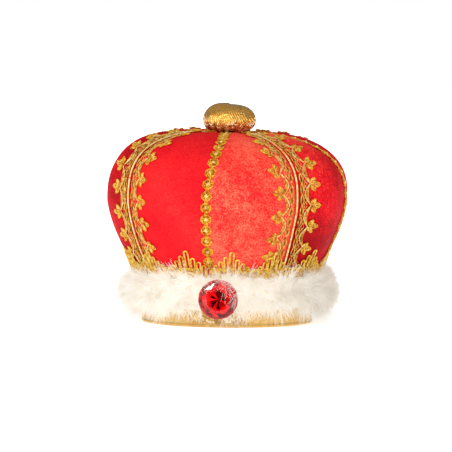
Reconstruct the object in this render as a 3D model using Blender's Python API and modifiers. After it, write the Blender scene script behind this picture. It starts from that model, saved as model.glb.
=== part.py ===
"""A padded fabric king's crown: velvet dome, metallic braids, feather trim, lame band and a stuffed top ball.

Metres, +Z up. The hem of the band stands on z = 0, the crown's axis is Z and its front seam faces -Y.
Azimuths run from the front seam towards +X.
"""

import math

import bmesh
import bpy
import numpy as np

# Band: the circle that goes round the head.
BAND_RADIUS = 0.0920  # outside of the gold cover, for a head of about 56 cm
BAND_HEIGHT = 0.0440
COVER_THICKNESS = 0.0006
STIFFENER_THICKNESS = 0.0025
SWEATBAND_THICKNESS = 0.0008
FACING_HEIGHT = 0.0160  # how far the cover is turned up inside
HEM_RISE = 0.0020  # the sweatband's lower edge above the floor

# Dome, measured on the outside of the velvet at a seam.
DOME_RADIUS = 0.1275  # at its widest
DOME_WAIST_Z = 0.1310  # height of the widest place
DOME_TOP_Z = 0.2040
DOME_SQUARENESS = 2.8  # superellipse power of the upper half
DOME_TUCK = 1.45  # power of the curve that draws the lower half in to the band
DOME_FOOT_INSET = 0.0010  # the foot stands this far inside the band's outside
TOP_DIP = 0.0040  # how far the ball's neck pulls the middle of the top down
TOP_DIP_RADIUS = 0.0400
GORES = 8
GORE_PUFF = 0.0035  # how far a gore's middle swells beyond its seams
VELVET_THICKNESS = 0.0012
FOAM_THICKNESS = 0.0040
LINING_THICKNESS = 0.0006
LINING_EASE = 0.0024  # free space between foam and lining

# Braids
BRAID_THICKNESS = 0.0014
FLOWER_BRAID_WIDTH = 0.0120
LEAF_BRAID_WIDTH = 0.0640
LOOP_BRAID_THICKNESS = 0.0012
LOOP_BRAID_FOOT = 0.97  # its lower edge, as a share of the way from the neck to the band

# Feather trim
FUR_LIFT = 0.0090  # the trim's lower edge above the hem
FUR_HEIGHT = 0.0540
FUR_DEPTH = 0.0235  # how far the feathers stand out from the band
CORE_CORD_RADIUS = 0.0012

# Stone
GEM_RADIUS = 0.0212
GEM_DEPTH = 0.0080
GEM_GIRDLE = 0.0014
GEM_SIDES = 8
GEM_AZIMUTH = math.radians(5.5)  # sewn on by hand a little to one side of the front seam
GEM_DROP = 0.0050  # its centre below the middle of the feathers
GEM_STANDOFF = 0.0145  # feathers pressed between the band and the foil
FOIL_THICKNESS = 0.0003

# Ball on top
KNOB_RADIUS = 0.0295
KNOB_WAIST_Z = 0.0160  # the ball's widest place above the top of the dome
KNOB_CROWN = 0.0145  # from the widest place to the top of the ball
KNOB_ROUNDNESS = 0.85
NECK_RADIUS = 0.0065
NECK_HOLE_RADIUS = 0.0085
TIE_RADIUS = 0.0008
BACKING_RADIUS = 0.0180
BACKING_THICKNESS = 0.0012

# Gaps
CLEARANCE = 0.0003  # between pieces that lie on each other
BRAID_CLEARANCE = 0.0005  # under a braid, which bridges the velvet's nap
FUR_CLEARANCE = 0.0020  # between the feathers and the braid above the band

# Fineness of the curved solids
ROWS = 12  # from the neck to the band
GORE_COLUMNS = 6
ROUND_STEPS = GORES * GORE_COLUMNS
SMALL_STEPS = 24  # small turned pieces, and the loose lining
OUTLINE_SAMPLES = 400

SEAM_STEP = math.tau / GORES
FOOT_Z = BAND_HEIGHT + CLEARANCE
FOAM_DEPTH = VELVET_THICKNESS + CLEARANCE
LINING_DEPTH = FOAM_DEPTH + FOAM_THICKNESS + LINING_EASE
BRAID_LIFT = BRAID_CLEARANCE + BRAID_THICKNESS
LOOP_LIFT = BRAID_LIFT + BRAID_CLEARANCE + LOOP_BRAID_THICKNESS


# ---------------------------------------------------------------- scene, materials


def clear_scene():
    for obj in list(bpy.data.objects):
        bpy.data.objects.remove(obj, do_unlink=True)


def new_collection(name):
    collection = bpy.data.collections.new(name)
    bpy.context.scene.collection.children.link(collection)
    return collection


def make_material(name, colour, roughness, metallic=0.0):
    material = bpy.data.materials.new(name)
    material.use_nodes = True
    shader = material.node_tree.nodes["Principled BSDF"]
    shader.inputs["Base Color"].default_value = (*colour, 1.0)
    shader.inputs["Roughness"].default_value = roughness
    shader.inputs["Metallic"].default_value = metallic
    material.diffuse_color = (*colour, 1.0)
    return material


clear_scene()
CROWN = new_collection("kings_crown")
CUTTERS = new_collection("cutters")
VELVET = make_material("red_velvet", (0.80, 0.02, 0.04), 0.85)
FOAM = make_material("white_foam", (0.85, 0.84, 0.80), 0.95)
LINING = make_material("red_lining", (0.45, 0.02, 0.03), 0.60)
BRAID = make_material("gold_braid", (0.72, 0.43, 0.08), 0.35, 0.8)
FEATHER = make_material("white_feather", (0.93, 0.90, 0.84), 0.95)
CORD = make_material("cotton_cord", (0.88, 0.86, 0.80), 0.90)
STONE = make_material("red_stone", (0.70, 0.01, 0.03), 0.05)
FOIL = make_material("silver_foil", (0.85, 0.85, 0.87), 0.15, 1.0)
LAME = make_material("gold_lame", (0.80, 0.58, 0.26), 0.30, 0.9)
BUCKRAM = make_material("buckram", (0.80, 0.77, 0.68), 0.90)
RIBBON = make_material("cotton_ribbon", (0.78, 0.72, 0.58), 0.80)
FIBRE = make_material("fibre_filling", (0.94, 0.94, 0.92), 0.95)
FELT = make_material("red_felt", (0.50, 0.03, 0.04), 0.95)


def finish(obj, name, material, parent=None):
    """Names the piece, gives it its material and moves it into the crown's collection."""
    obj.name = name
    obj.data.name = name
    obj.data.materials.clear()
    obj.data.materials.append(material)
    for collection in list(obj.users_collection):
        collection.objects.unlink(obj)
    CROWN.objects.link(obj)
    obj.parent = parent
    obj.data.shade_smooth()
    obj.data.set_sharp_from_angle(angle=math.radians(35))
    return obj


# ---------------------------------------------------------------- the dome's outline


def dense_outline():
    """(r, z) of a seam from the neck hole to the foot, closely spaced."""
    rise = DOME_TOP_Z - DOME_WAIST_Z
    drop = DOME_WAIST_Z - FOOT_Z
    foot_radius = BAND_RADIUS - DOME_FOOT_INSET
    turn = np.linspace(0.0, math.pi / 2, OUTLINE_SAMPLES)
    r = DOME_RADIUS * np.sin(turn) ** (2 / DOME_SQUARENESS)
    z = DOME_WAIST_Z + rise * np.cos(turn) ** (2 / DOME_SQUARENESS)
    dip = np.clip(1 - r / TOP_DIP_RADIUS, 0, None) ** 2 * TOP_DIP
    upper = np.stack([r, z - dip], axis=1)
    upper = upper[upper[:, 0] >= NECK_HOLE_RADIUS]
    down = np.linspace(0.0, 1.0, OUTLINE_SAMPLES)[1:]
    lower_r = DOME_RADIUS - (DOME_RADIUS - foot_radius) * down**DOME_TUCK
    lower = np.stack([lower_r, DOME_WAIST_Z - drop * down], axis=1)
    return np.concatenate([upper, lower])


SEAM_LINE = dense_outline()
SEAM_LENGTHS = np.concatenate([[0], np.cumsum(np.linalg.norm(np.diff(SEAM_LINE, axis=0), axis=1))])
SEAM_LENGTH = float(SEAM_LENGTHS[-1])


def outline(share, lift=0.0):
    """(r, z) at this share of the way from the neck to the foot, lifted off the velvet along its normal."""
    at = share * SEAM_LENGTH
    r, z = (float(np.interp(at, SEAM_LENGTHS, SEAM_LINE[:, i])) for i in (0, 1))
    span = 0.01 * SEAM_LENGTH
    ends = [[np.interp(at + side * span, SEAM_LENGTHS, SEAM_LINE[:, i]) for i in (0, 1)] for side in (-1, 1)]
    along = np.subtract(ends[1], ends[0])
    along /= np.linalg.norm(along)
    return r - along[1] * lift, z + along[0] * lift


def puff(azimuth, share):
    """How far the velvet stands out beyond the seam line."""
    across = math.sin(math.pi * azimuth / SEAM_STEP) ** 2
    return GORE_PUFF * across * math.sin(math.pi * min(share, 1.0)) ** 0.6


def on_dome(azimuth, share, lift=0.0):
    r, z = outline(share, lift + puff(azimuth, share))
    return r * math.sin(azimuth), -r * math.cos(azimuth), z


# ---------------------------------------------------------------- building helpers


def solidify(obj, thickness):
    modifier = obj.modifiers.new("thickness", "SOLIDIFY")
    modifier.thickness = thickness
    modifier.offset = -1.0
    modifier.use_even_offset = True
    return obj


def dome_sheet(name, material, columns, shares, edges, lift, thickness):
    """A sheet that follows the dome. edges(share) gives its two side azimuths; lift is its outer face's."""
    mesh = bmesh.new()
    bmesh.ops.create_grid(mesh, x_segments=columns, y_segments=len(shares) - 1, size=1.0)
    for vertex in mesh.verts:
        across = (vertex.co.x + 1) / 2
        row = round((1 - vertex.co.y) / 2 * (len(shares) - 1))
        start, end = edges(shares[row])
        vertex.co = on_dome(start + (end - start) * across, shares[row], lift)
    bmesh.ops.remove_doubles(mesh, verts=mesh.verts, dist=1e-6)
    data = bpy.data.meshes.new(name)
    mesh.to_mesh(data)
    mesh.free()
    obj = finish(bpy.data.objects.new(name, data), name, material, CENTRE)
    return solidify(obj, thickness)


def turned(name, material, profile, closed=False, steps=ROUND_STEPS):
    """A profile of (r, z) points turned about Z. A profile at +X runs down its outer side."""
    data = bpy.data.meshes.new(name)
    count = len(profile)
    edges = [(i, i + 1) for i in range(count - 1)] + ([(count - 1, 0)] if closed else [])
    data.from_pydata([(r, 0.0, z) for r, z in profile], edges, [])
    obj = finish(bpy.data.objects.new(name, data), name, material, CENTRE)
    modifier = obj.modifiers.new("turn", "SCREW")
    modifier.axis = "Z"
    modifier.angle = math.tau
    modifier.steps = steps
    modifier.render_steps = steps
    modifier.use_merge_vertices = True
    modifier.merge_threshold = 0.00001
    return obj


def hoop(name, material, outer_radius, thickness, low, high):
    """A plain band of cloth or board standing round the axis."""
    return solidify(turned(name, material, [(outer_radius, high), (outer_radius, low)]), thickness)


def torus(name, material, radius, thickness_radius, height, segments):
    bpy.ops.mesh.primitive_torus_add(
        major_radius=radius,
        minor_radius=thickness_radius,
        major_segments=segments,
        minor_segments=6,
        location=(0.0, 0.0, height),
    )
    return finish(bpy.context.object, name, material, CENTRE)


def disc(name, material, radius, thickness, sides, location=(0.0, 0.0, 0.0), rotation=(0.0, 0.0, 0.0)):
    """A flat round piece, thickness upwards from its location."""
    bpy.ops.mesh.primitive_cylinder_add(vertices=sides, radius=radius, depth=thickness)
    obj = bpy.context.object
    for vertex in obj.data.vertices:
        vertex.co.z += thickness / 2
    obj.location = location
    obj.rotation_euler = rotation
    return finish(obj, name, material, CENTRE)


CENTRE = bpy.data.objects.new("crown_centre", None)
CROWN.objects.link(CENTRE)
ROW_SHARES = [row / ROWS for row in range(ROWS + 1)]


# ---------------------------------------------------------------- band


def make_band():
    inner_face = BAND_RADIUS - 2 * COVER_THICKNESS - STIFFENER_THICKNESS - 2 * CLEARANCE
    turned(
        "band_cover",
        LAME,
        [
            (BAND_RADIUS, BAND_HEIGHT),
            (BAND_RADIUS, 0.0),
            (inner_face, 0.0),
            (inner_face, FACING_HEIGHT),
            (inner_face + COVER_THICKNESS, FACING_HEIGHT),
            (inner_face + COVER_THICKNESS, COVER_THICKNESS),
            (BAND_RADIUS - COVER_THICKNESS, COVER_THICKNESS),
            (BAND_RADIUS - COVER_THICKNESS, BAND_HEIGHT),
        ],
        closed=True,
    )
    stiffener_radius = BAND_RADIUS - COVER_THICKNESS - CLEARANCE
    stiffener_low = COVER_THICKNESS + CLEARANCE
    hoop("band_stiffener", BUCKRAM, stiffener_radius, STIFFENER_THICKNESS, stiffener_low, BAND_HEIGHT)
    hoop("sweatband", RIBBON, inner_face - CLEARANCE, SWEATBAND_THICKNESS, HEM_RISE, BAND_HEIGHT)


# ---------------------------------------------------------------- dome


def seam_to_seam(index, gap):
    """The side azimuths of the panel between two seams, each half a gap short of its seam."""

    def edges(share):
        inset = gap / 2 / outline(share)[0]
        return index * SEAM_STEP + inset, (index + 1) * SEAM_STEP - inset

    return edges


def make_dome():
    for index in range(GORES):
        edges = seam_to_seam(index, CLEARANCE)
        dome_sheet(f"gore_{index + 1}", VELVET, GORE_COLUMNS, ROW_SHARES, edges, 0.0, VELVET_THICKNESS)
        edges = seam_to_seam(index, 3 * CLEARANCE)
        name = f"foam_panel_{index + 1}"
        dome_sheet(name, FOAM, GORE_COLUMNS, ROW_SHARES, edges, -FOAM_DEPTH, FOAM_THICKNESS)
    lining = [outline(share, -LINING_DEPTH) for share in ROW_SHARES]
    cap = [(0.0, lining[0][1])]
    solidify(turned("dome_lining", LINING, cap + lining, steps=SMALL_STEPS), LINING_THICKNESS)


# ---------------------------------------------------------------- braids


def strip_columns(width):
    """Enough columns for a strip centred on a seam to follow the dome as closely as the gores do."""
    return 2 * math.ceil(width / 2 / (DOME_RADIUS * SEAM_STEP / GORE_COLUMNS))


def make_braids():
    shares = ROW_SHARES[1:-1]

    def strip(azimuth, width, neighbour):
        """A strip centred on a seam, narrowed near the top where its neighbours come together."""

        def edges(share):
            r = outline(share)[0]
            room = r * math.tan(SEAM_STEP / 2) * 2 - neighbour - 2 * BRAID_CLEARANCE
            half = min(width, max(room, FLOWER_BRAID_WIDTH / 2)) / 2 / r
            return azimuth - half, azimuth + half

        return edges

    for index in range(GORES // 2):
        front = 2 * index * SEAM_STEP
        edges = strip(front, FLOWER_BRAID_WIDTH, 0.0)
        columns = strip_columns(FLOWER_BRAID_WIDTH)
        dome_sheet(f"flower_braid_{index + 1}", BRAID, columns, shares, edges, BRAID_LIFT, BRAID_THICKNESS)
        edges = strip(front + SEAM_STEP, LEAF_BRAID_WIDTH, FLOWER_BRAID_WIDTH)
        columns = strip_columns(LEAF_BRAID_WIDTH)
        dome_sheet(f"leaf_braid_{index + 1}", BRAID, columns, shares, edges, BRAID_LIFT, BRAID_THICKNESS)

    def all_round(share):
        return 0.0, math.tau

    loop_shares = ROW_SHARES[-3:-1] + [LOOP_BRAID_FOOT]
    dome_sheet("loop_braid", BRAID, ROUND_STEPS, loop_shares, all_round, LOOP_LIFT, LOOP_BRAID_THICKNESS)


# ---------------------------------------------------------------- feather trim and stone


def gem_place(radius):
    """A point on the stone's own axis, this far from the crown's, and the turn that faces it outwards."""
    height = FUR_LIFT + FUR_HEIGHT / 2 - GEM_DROP
    place = (radius * math.sin(GEM_AZIMUTH), -radius * math.cos(GEM_AZIMUTH), height)
    return place, (math.pi / 2, 0.0, GEM_AZIMUTH)


def face_over_braids():
    """(r, z) up the dome from its foot to its widest place, clear of the braids on the swollen gores."""
    face = []
    for step in range(3 * ROWS):
        share = 1 - step / (3 * ROWS)
        point = outline(share, puff(SEAM_STEP / 2, share) + LOOP_LIFT + FUR_CLEARANCE)
        if point[1] > DOME_WAIST_Z:
            break
        face.append(point)
    return face


def make_fur():
    inner = BAND_RADIUS + CLEARANCE
    middle = FUR_LIFT + FUR_HEIGHT / 2
    groove = CORE_CORD_RADIUS + CLEARANCE
    outside = []
    for step in range(7):
        turn = math.pi / 2 - math.pi * step / 6
        outside.append((inner + FUR_DEPTH * math.cos(turn) ** 0.6, middle + FUR_HEIGHT / 2 * math.sin(turn)))
    over_braids = face_over_braids()
    face_r, face_z = zip(*over_braids)
    for index, (r, z) in enumerate(outside):
        if z > BAND_HEIGHT:
            outside[index] = (max(r, float(np.interp(z, face_z, face_r)) + FUR_CLEARANCE), z)
    above_band = [(r, z) for r, z in over_braids if z < outside[0][1]]
    profile = outside + [
        (inner, middle - groove),
        (inner + 2 * groove, middle - groove),
        (inner + 2 * groove, middle + groove),
        (inner, middle + groove),
        (inner, BAND_HEIGHT - groove),
    ]
    fur = turned("fur_trim", FEATHER, profile + above_band, closed=True)
    torus("fur_core_cord", CORD, inner + groove, CORE_CORD_RADIUS, middle, ROUND_STEPS)

    place, facing = gem_place(BAND_RADIUS + GEM_STANDOFF - FOIL_THICKNESS - 2 * CLEARANCE)
    cutter = disc("gem_recess", FEATHER, GEM_RADIUS + 2 * CLEARANCE, 2 * FUR_DEPTH, 32, place, facing)
    CROWN.objects.unlink(cutter)
    CUTTERS.objects.link(cutter)
    cutter.hide_render = True
    cutter.display_type = "WIRE"
    cut = fur.modifiers.new("pressed_flat_under_the_stone", "BOOLEAN")
    cut.operation = "DIFFERENCE"
    cut.solver = "EXACT"
    cut.object = cutter


def make_gem():
    """A brilliant-cut flat-back stone: the hull of its girdle, its middle ring and its table."""
    rings = (
        (2 * GEM_SIDES, GEM_RADIUS, 0.0, 0.0),
        (2 * GEM_SIDES, GEM_RADIUS, GEM_GIRDLE, 0.0),
        (GEM_SIDES, 0.80 * GEM_RADIUS, 0.62 * GEM_DEPTH, 0.0),
        (GEM_SIDES, 0.52 * GEM_RADIUS, GEM_DEPTH, 0.5),
    )
    mesh = bmesh.new()
    for count, radius, height, shift in rings:
        for index in range(count):
            turn = math.tau * (index + shift) / count
            mesh.verts.new((radius * math.cos(turn), radius * math.sin(turn), height))
    bmesh.ops.convex_hull(mesh, input=mesh.verts)
    data = bpy.data.meshes.new("gem")
    mesh.to_mesh(data)
    mesh.free()
    gem = finish(bpy.data.objects.new("gem", data), "gem", STONE, CENTRE)
    gem.location, gem.rotation_euler = gem_place(BAND_RADIUS + GEM_STANDOFF)
    place, facing = gem_place(BAND_RADIUS + GEM_STANDOFF - FOIL_THICKNESS - CLEARANCE)
    disc("gem_foil", FOIL, GEM_RADIUS - CLEARANCE, FOIL_THICKNESS, 4 * GEM_SIDES, place, facing)


# ---------------------------------------------------------------- ball on top


def knob_outline(inset, steps):
    """The ball's outline from its top down to the neck, this far inside the cover's outside."""
    waist = DOME_TOP_Z + KNOB_WAIST_Z
    radius = KNOB_RADIUS - inset
    neck = NECK_RADIUS - inset
    under = KNOB_WAIST_Z - 2 * TIE_RADIUS
    points = [(0.0, waist + KNOB_CROWN - inset)]
    for step in range(1, steps + 1):
        turn = math.pi / 2 * (1 - step / steps)
        points.append((radius * math.cos(turn) ** KNOB_ROUNDNESS, waist + (KNOB_CROWN - inset) * math.sin(turn)))
    for step in range(1, steps + 1):
        turn = math.pi / 2 * step / steps
        points.append((neck + (radius - neck) * math.cos(turn), waist - (under - inset) * math.sin(turn)))
    return points


def make_knob():
    steps = 5
    hole_z = outline(0.0, -FOAM_DEPTH - FOAM_THICKNESS)[1]
    tail_z = hole_z + CLEARANCE
    cover = turned("knob_cover", LAME, knob_outline(0.0, steps) + [(NECK_RADIUS, tail_z)], steps=SMALL_STEPS)
    solidify(cover, COVER_THICKNESS)
    inset = COVER_THICKNESS + CLEARANCE
    ball = knob_outline(inset, steps)
    turned("knob_stuffing", FIBRE, ball + [(0.0, ball[-1][1])], steps=SMALL_STEPS)
    tie_z = DOME_TOP_Z + CLEARANCE
    tie_radius = NECK_RADIUS + CLEARANCE + TIE_RADIUS
    torus("knob_tie", CORD, tie_radius, TIE_RADIUS, tie_z, SMALL_STEPS)
    backing_z = hole_z - CLEARANCE - BACKING_THICKNESS
    disc("knob_backing", FELT, BACKING_RADIUS, BACKING_THICKNESS, SMALL_STEPS, (0.0, 0.0, backing_z))


make_band()
make_dome()
make_braids()
make_fur()
make_gem()
make_knob()
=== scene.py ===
# %% [markdown]
# # A costume king's crown, piece by piece
#
# The crown is soft goods: a velvet dome on foam, metallic braids over its seams, a marabou feather
# trim, a gold lame headband, an acrylic stone and a stuffed ball on top. The frame that is loaded
# here fixes where each piece sits and how big it is. What follows gives each piece its real surface.

# %% Load the frame
import math

import bmesh
import bpy
import numpy as np
from mathutils import Matrix, Vector, noise


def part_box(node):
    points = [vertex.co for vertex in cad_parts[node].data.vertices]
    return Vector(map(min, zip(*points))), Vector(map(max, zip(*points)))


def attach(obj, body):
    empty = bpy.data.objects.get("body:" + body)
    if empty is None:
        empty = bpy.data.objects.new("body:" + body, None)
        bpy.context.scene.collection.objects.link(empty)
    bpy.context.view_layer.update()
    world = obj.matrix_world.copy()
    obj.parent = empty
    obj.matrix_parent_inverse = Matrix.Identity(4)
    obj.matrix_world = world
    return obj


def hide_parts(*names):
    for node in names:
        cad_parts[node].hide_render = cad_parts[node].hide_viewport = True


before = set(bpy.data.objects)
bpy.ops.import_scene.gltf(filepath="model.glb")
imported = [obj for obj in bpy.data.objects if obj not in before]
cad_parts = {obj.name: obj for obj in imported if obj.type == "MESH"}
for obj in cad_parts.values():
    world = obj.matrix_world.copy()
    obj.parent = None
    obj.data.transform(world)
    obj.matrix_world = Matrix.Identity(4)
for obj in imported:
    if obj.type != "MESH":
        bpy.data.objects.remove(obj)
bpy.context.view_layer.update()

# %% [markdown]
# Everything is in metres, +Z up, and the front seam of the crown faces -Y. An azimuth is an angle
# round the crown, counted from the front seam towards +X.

MM = 0.001
GORES = 8
SEAM_STEP = math.tau / GORES


def span(node):
    """The lowest and highest corners of a frame node, as two arrays."""
    low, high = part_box(node)
    return np.array(low), np.array(high)


BAND_HIGH = span("band_cover")[1]
BAND_RADIUS = float(BAND_HIGH[0])
BAND_HEIGHT = float(BAND_HIGH[2])
GEM_LOW, GEM_HIGH = span("gem")
GEM_CENTRE = (GEM_LOW + GEM_HIGH) / 2
GEM_RADIUS = float(GEM_HIGH[2] - GEM_LOW[2]) / 2
KNOB_HIGH = span("knob_cover")[1]
KNOB_RADIUS = float(KNOB_HIGH[0])
FOOT_Z = float(span("gore_1")[0][2])
print(f"band {2000 * BAND_RADIUS:.0f} mm across, stone {2000 * GEM_RADIUS:.0f} mm, ball {2000 * KNOB_RADIUS:.0f} mm")

# %% [markdown]
# ## Camera, floor and light
#
# The crown stands on a pale floor in a bright studio. A long lens five metres away keeps the shape
# calm. The front seam is turned a little to the viewer's left, and the camera is rolled slightly,
# because the soft crown does not stand quite straight. The world looks white to the camera but
# lights the crown more softly, so that metal and velvet keep their contrast.

# %% Camera
CAMERA_AZIMUTH = math.radians(10.5)
CAMERA_ELEVATION = math.radians(3.6)
CAMERA_DISTANCE = 5.0
CAMERA_ROLL = math.radians(0.5)
AIM = Vector((-0.0019, 0.0, 0.102))
FIELD_WIDTH = 0.486  # metres seen across at the crown's axis


def way_to(azimuth, elevation):
    """The unit vector from the crown towards an azimuth and an elevation."""
    flat = math.cos(elevation)
    return Vector((math.sin(azimuth) * flat, -math.cos(azimuth) * flat, math.sin(elevation)))


def make_camera():
    data = bpy.data.cameras.new("studio_camera")
    data.sensor_width = 36.0
    data.lens = data.sensor_width * CAMERA_DISTANCE / FIELD_WIDTH
    camera = bpy.data.objects.new("studio_camera", data)
    bpy.context.scene.collection.objects.link(camera)
    towards = way_to(CAMERA_AZIMUTH, CAMERA_ELEVATION)
    camera.location = AIM + towards * CAMERA_DISTANCE
    turn = (-towards).to_track_quat("-Z", "Y").to_matrix().to_4x4()
    roll = Matrix.Rotation(CAMERA_ROLL, 4, "Z")
    camera.rotation_euler = (turn @ roll).to_euler()
    bpy.context.scene.camera = camera


make_camera()

# %% [markdown]
# The light is that of a white tent: soft, brightest in front, dim behind, with one small dark patch
# where the camera looks in. Metal mirrors that, so the ball gets dark ends and the stone a dark
# heart. Two lamps that metal does not mirror add some direction to it, and two small ones that it
# does mirror make glints in the front view.

# %% Floor and lamps
LAMPS = (
    # name, azimuth and elevation in degrees, distance, size, power in watts, mirrored by metal
    ("key", -30, 34, 1.5, 0.9, 5.4, False),
    ("top", 20, 75, 1.3, 0.8, 2.5, False),
    ("glint", -16, 27, 2.0, 0.16, 1.3, True),
    ("second glint", 34, 12, 2.0, 0.12, 0.5, True),
)


def add_lamp(name, lit, way, distance, size, power, mirrored):
    """A square lamp at some distance from the lit point, in the direction called way."""
    data = bpy.data.lights.new(name, "AREA")
    data.size = size
    data.energy = power
    lamp = bpy.data.objects.new(name, data)
    bpy.context.scene.collection.objects.link(lamp)
    lamp.location = lit + way * distance
    lamp.rotation_euler = way.to_track_quat("Z", "Y").to_euler()
    lamp.visible_glossy = mirrored


def make_lamps():
    for name, azimuth, elevation, distance, size, power, mirrored in LAMPS:
        way = way_to(math.radians(azimuth), math.radians(elevation))
        add_lamp(name, AIM, way, distance, size, power, mirrored)


def make_floor():
    """A white floor that glows, brighter than white far out and less near the crown, where a soft shadow may show."""
    bpy.ops.mesh.primitive_circle_add(vertices=96, radius=8.0, fill_type="NGON", location=(0, 0, -0.0002))
    floor = bpy.context.object
    floor.name = "studio_floor"
    material = bpy.data.materials.new("studio_floor")
    material.use_nodes = True
    nodes, links = material.node_tree.nodes, material.node_tree.links
    shader = nodes["Principled BSDF"]
    shader.inputs["Base Color"].default_value = (0.9, 0.9, 0.9, 1)
    shader.inputs["Roughness"].default_value = 0.8
    shader.inputs["Emission Color"].default_value = (1, 1, 1, 1)
    near = nodes.new("ShaderNodeVectorMath")
    near.operation = "LENGTH"
    links.new(nodes.new("ShaderNodeTexCoord").outputs["Object"], near.inputs[0])
    glow = nodes.new("ShaderNodeMapRange")
    for name, value in (("From Min", 0.12), ("From Max", 0.50), ("To Min", 0.55), ("To Max", 1.5)):
        glow.inputs[name].default_value = value
    links.new(near.outputs["Value"], glow.inputs["Value"])
    links.new(glow.outputs["Result"], shader.inputs["Emission Strength"])
    floor.data.materials.append(material)


# From behind (0) to in front (1), and how bright the tent is there.
TENT = ((0.0, 0.20), (0.5, 0.24), (0.76, 0.90), (0.90, 1.25), (0.965, 1.25), (0.98, 0.05))


def make_world():
    """White to the camera. As light it is dimmer, and darkest in front, so that metal shows contrast."""
    world = bpy.data.worlds.new("studio")
    bpy.context.scene.world = world
    world.use_nodes = True
    nodes, links = world.node_tree.nodes, world.node_tree.links
    seen = nodes["Background"]
    seen.inputs["Color"].default_value = (1, 1, 1, 1)
    seen.inputs["Strength"].default_value = 1.0
    lighting = nodes.new("ShaderNodeBackground")
    lighting.inputs["Color"].default_value = (1, 1, 1, 1)
    frontness = nodes.new("ShaderNodeVectorMath")
    frontness.operation = "DOT_PRODUCT"
    links.new(nodes.new("ShaderNodeTexCoord").outputs["Generated"], frontness.inputs[0])
    frontness.inputs[1].default_value = (math.sin(CAMERA_AZIMUTH), -math.cos(CAMERA_AZIMUTH), 0.0)
    tent = nodes.new("ShaderNodeValToRGB")
    stops = tent.color_ramp.elements
    for index, (position, level) in enumerate(TENT):
        stop = stops[index] if index < 2 else stops.new(position)
        stop.position, stop.color = position, (level, level, level, 1)
    half = nodes.new("ShaderNodeMath")
    half.operation = "MULTIPLY_ADD"
    links.new(frontness.outputs["Value"], half.inputs[0])
    half.inputs[1].default_value = half.inputs[2].default_value = 0.5
    links.new(half.outputs[0], tent.inputs["Fac"])
    links.new(tent.outputs["Color"], lighting.inputs["Strength"])
    ray = nodes.new("ShaderNodeLightPath")
    mix = nodes.new("ShaderNodeMixShader")
    links.new(ray.outputs["Is Camera Ray"], mix.inputs["Fac"])
    links.new(lighting.outputs[0], mix.inputs[1])
    links.new(seen.outputs[0], mix.inputs[2])
    links.new(mix.outputs[0], nodes["World Output"].inputs["Surface"])


make_floor()
make_lamps()
make_world()
bpy.context.scene.view_settings.view_transform = "Standard"
print(f"{len(LAMPS)} lamps round a pale floor")

# %% [markdown]
# ## How the dome is shaped
#
# Seen from the side, a seam runs from the ball's neck over a rounded shoulder and in again to the
# band. The upper half is a superellipse and the lower half a power curve. Each gore swells a
# little between its seams. One function gives any point on the velvet, and all that is sewn to the
# dome uses it, so nothing floats or sinks.

# %% The dome's surface
NECK_HOLE_RADIUS = 8.5 * MM
DOME_RADIUS = 127.5 * MM
DOME_WAIST_Z = 131 * MM
DOME_TOP_Z = 204 * MM
DOME_SQUARENESS = 2.8
DOME_TUCK = 1.45
DOME_FOOT_RADIUS = BAND_RADIUS - 1 * MM
TOP_DIP, TOP_DIP_RADIUS = 5.5 * MM, 62 * MM
GORE_PUFF = 3.5 * MM
OUTLINE_SAMPLES = 600
SEAM_DRIFT = math.radians(6)
SLUMP = 0.026  # how much the soft top has sunk towards +X and risen towards -X, as a slope


def seam_outline():
    """(r, z) down a seam, its length so far, and its outward normal."""
    turn = np.linspace(0, math.pi / 2, OUTLINE_SAMPLES)
    r = DOME_RADIUS * np.sin(turn) ** (2 / DOME_SQUARENESS)
    z = DOME_WAIST_Z + (DOME_TOP_Z - DOME_WAIST_Z) * np.cos(turn) ** (2 / DOME_SQUARENESS)
    upper = np.stack([r, z - np.clip(1 - r / TOP_DIP_RADIUS, 0, None) ** 2 * TOP_DIP], 1)
    down = np.linspace(0, 1, OUTLINE_SAMPLES)[1:]
    lower = np.stack(
        [
            DOME_RADIUS - (DOME_RADIUS - DOME_FOOT_RADIUS) * down**DOME_TUCK,
            DOME_WAIST_Z - (DOME_WAIST_Z - FOOT_Z) * down,
        ],
        1,
    )
    line = np.concatenate([upper[upper[:, 0] >= NECK_HOLE_RADIUS], lower])
    length = np.concatenate([[0], np.cumsum(np.linalg.norm(np.diff(line, axis=0), axis=1))])
    even = np.linspace(0, length[-1], OUTLINE_SAMPLES)
    line = np.stack([np.interp(even, length, line[:, i]) for i in (0, 1)], 1)
    along = np.gradient(line, axis=0)
    smooth = np.ones(15) / 15
    along = np.stack([np.convolve(np.pad(along[:, i], 7, "edge"), smooth, "valid") for i in (0, 1)], 1)
    along /= np.linalg.norm(along, axis=1)[:, None]
    return line, even, np.stack([-along[:, 1], along[:, 0]], 1)


SEAM, SEAM_AT, SEAM_NORMAL = seam_outline()
SEAM_LENGTH = float(SEAM_AT[-1])


def seam_radius(share):
    return np.interp(np.asarray(share) * SEAM_LENGTH, SEAM_AT, SEAM[:, 0])


def hand_sewn(azimuth, share):
    """The azimuth after the front seam's wander: it is pulled aside where the ball is tied on."""
    from_front = (azimuth + math.pi) % math.tau - math.pi
    high = np.clip((0.62 - share) / 0.38, 0, 1)
    return azimuth + SEAM_DRIFT * high * high * (3 - 2 * high) * np.exp(-((from_front / 0.4) ** 2))


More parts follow.
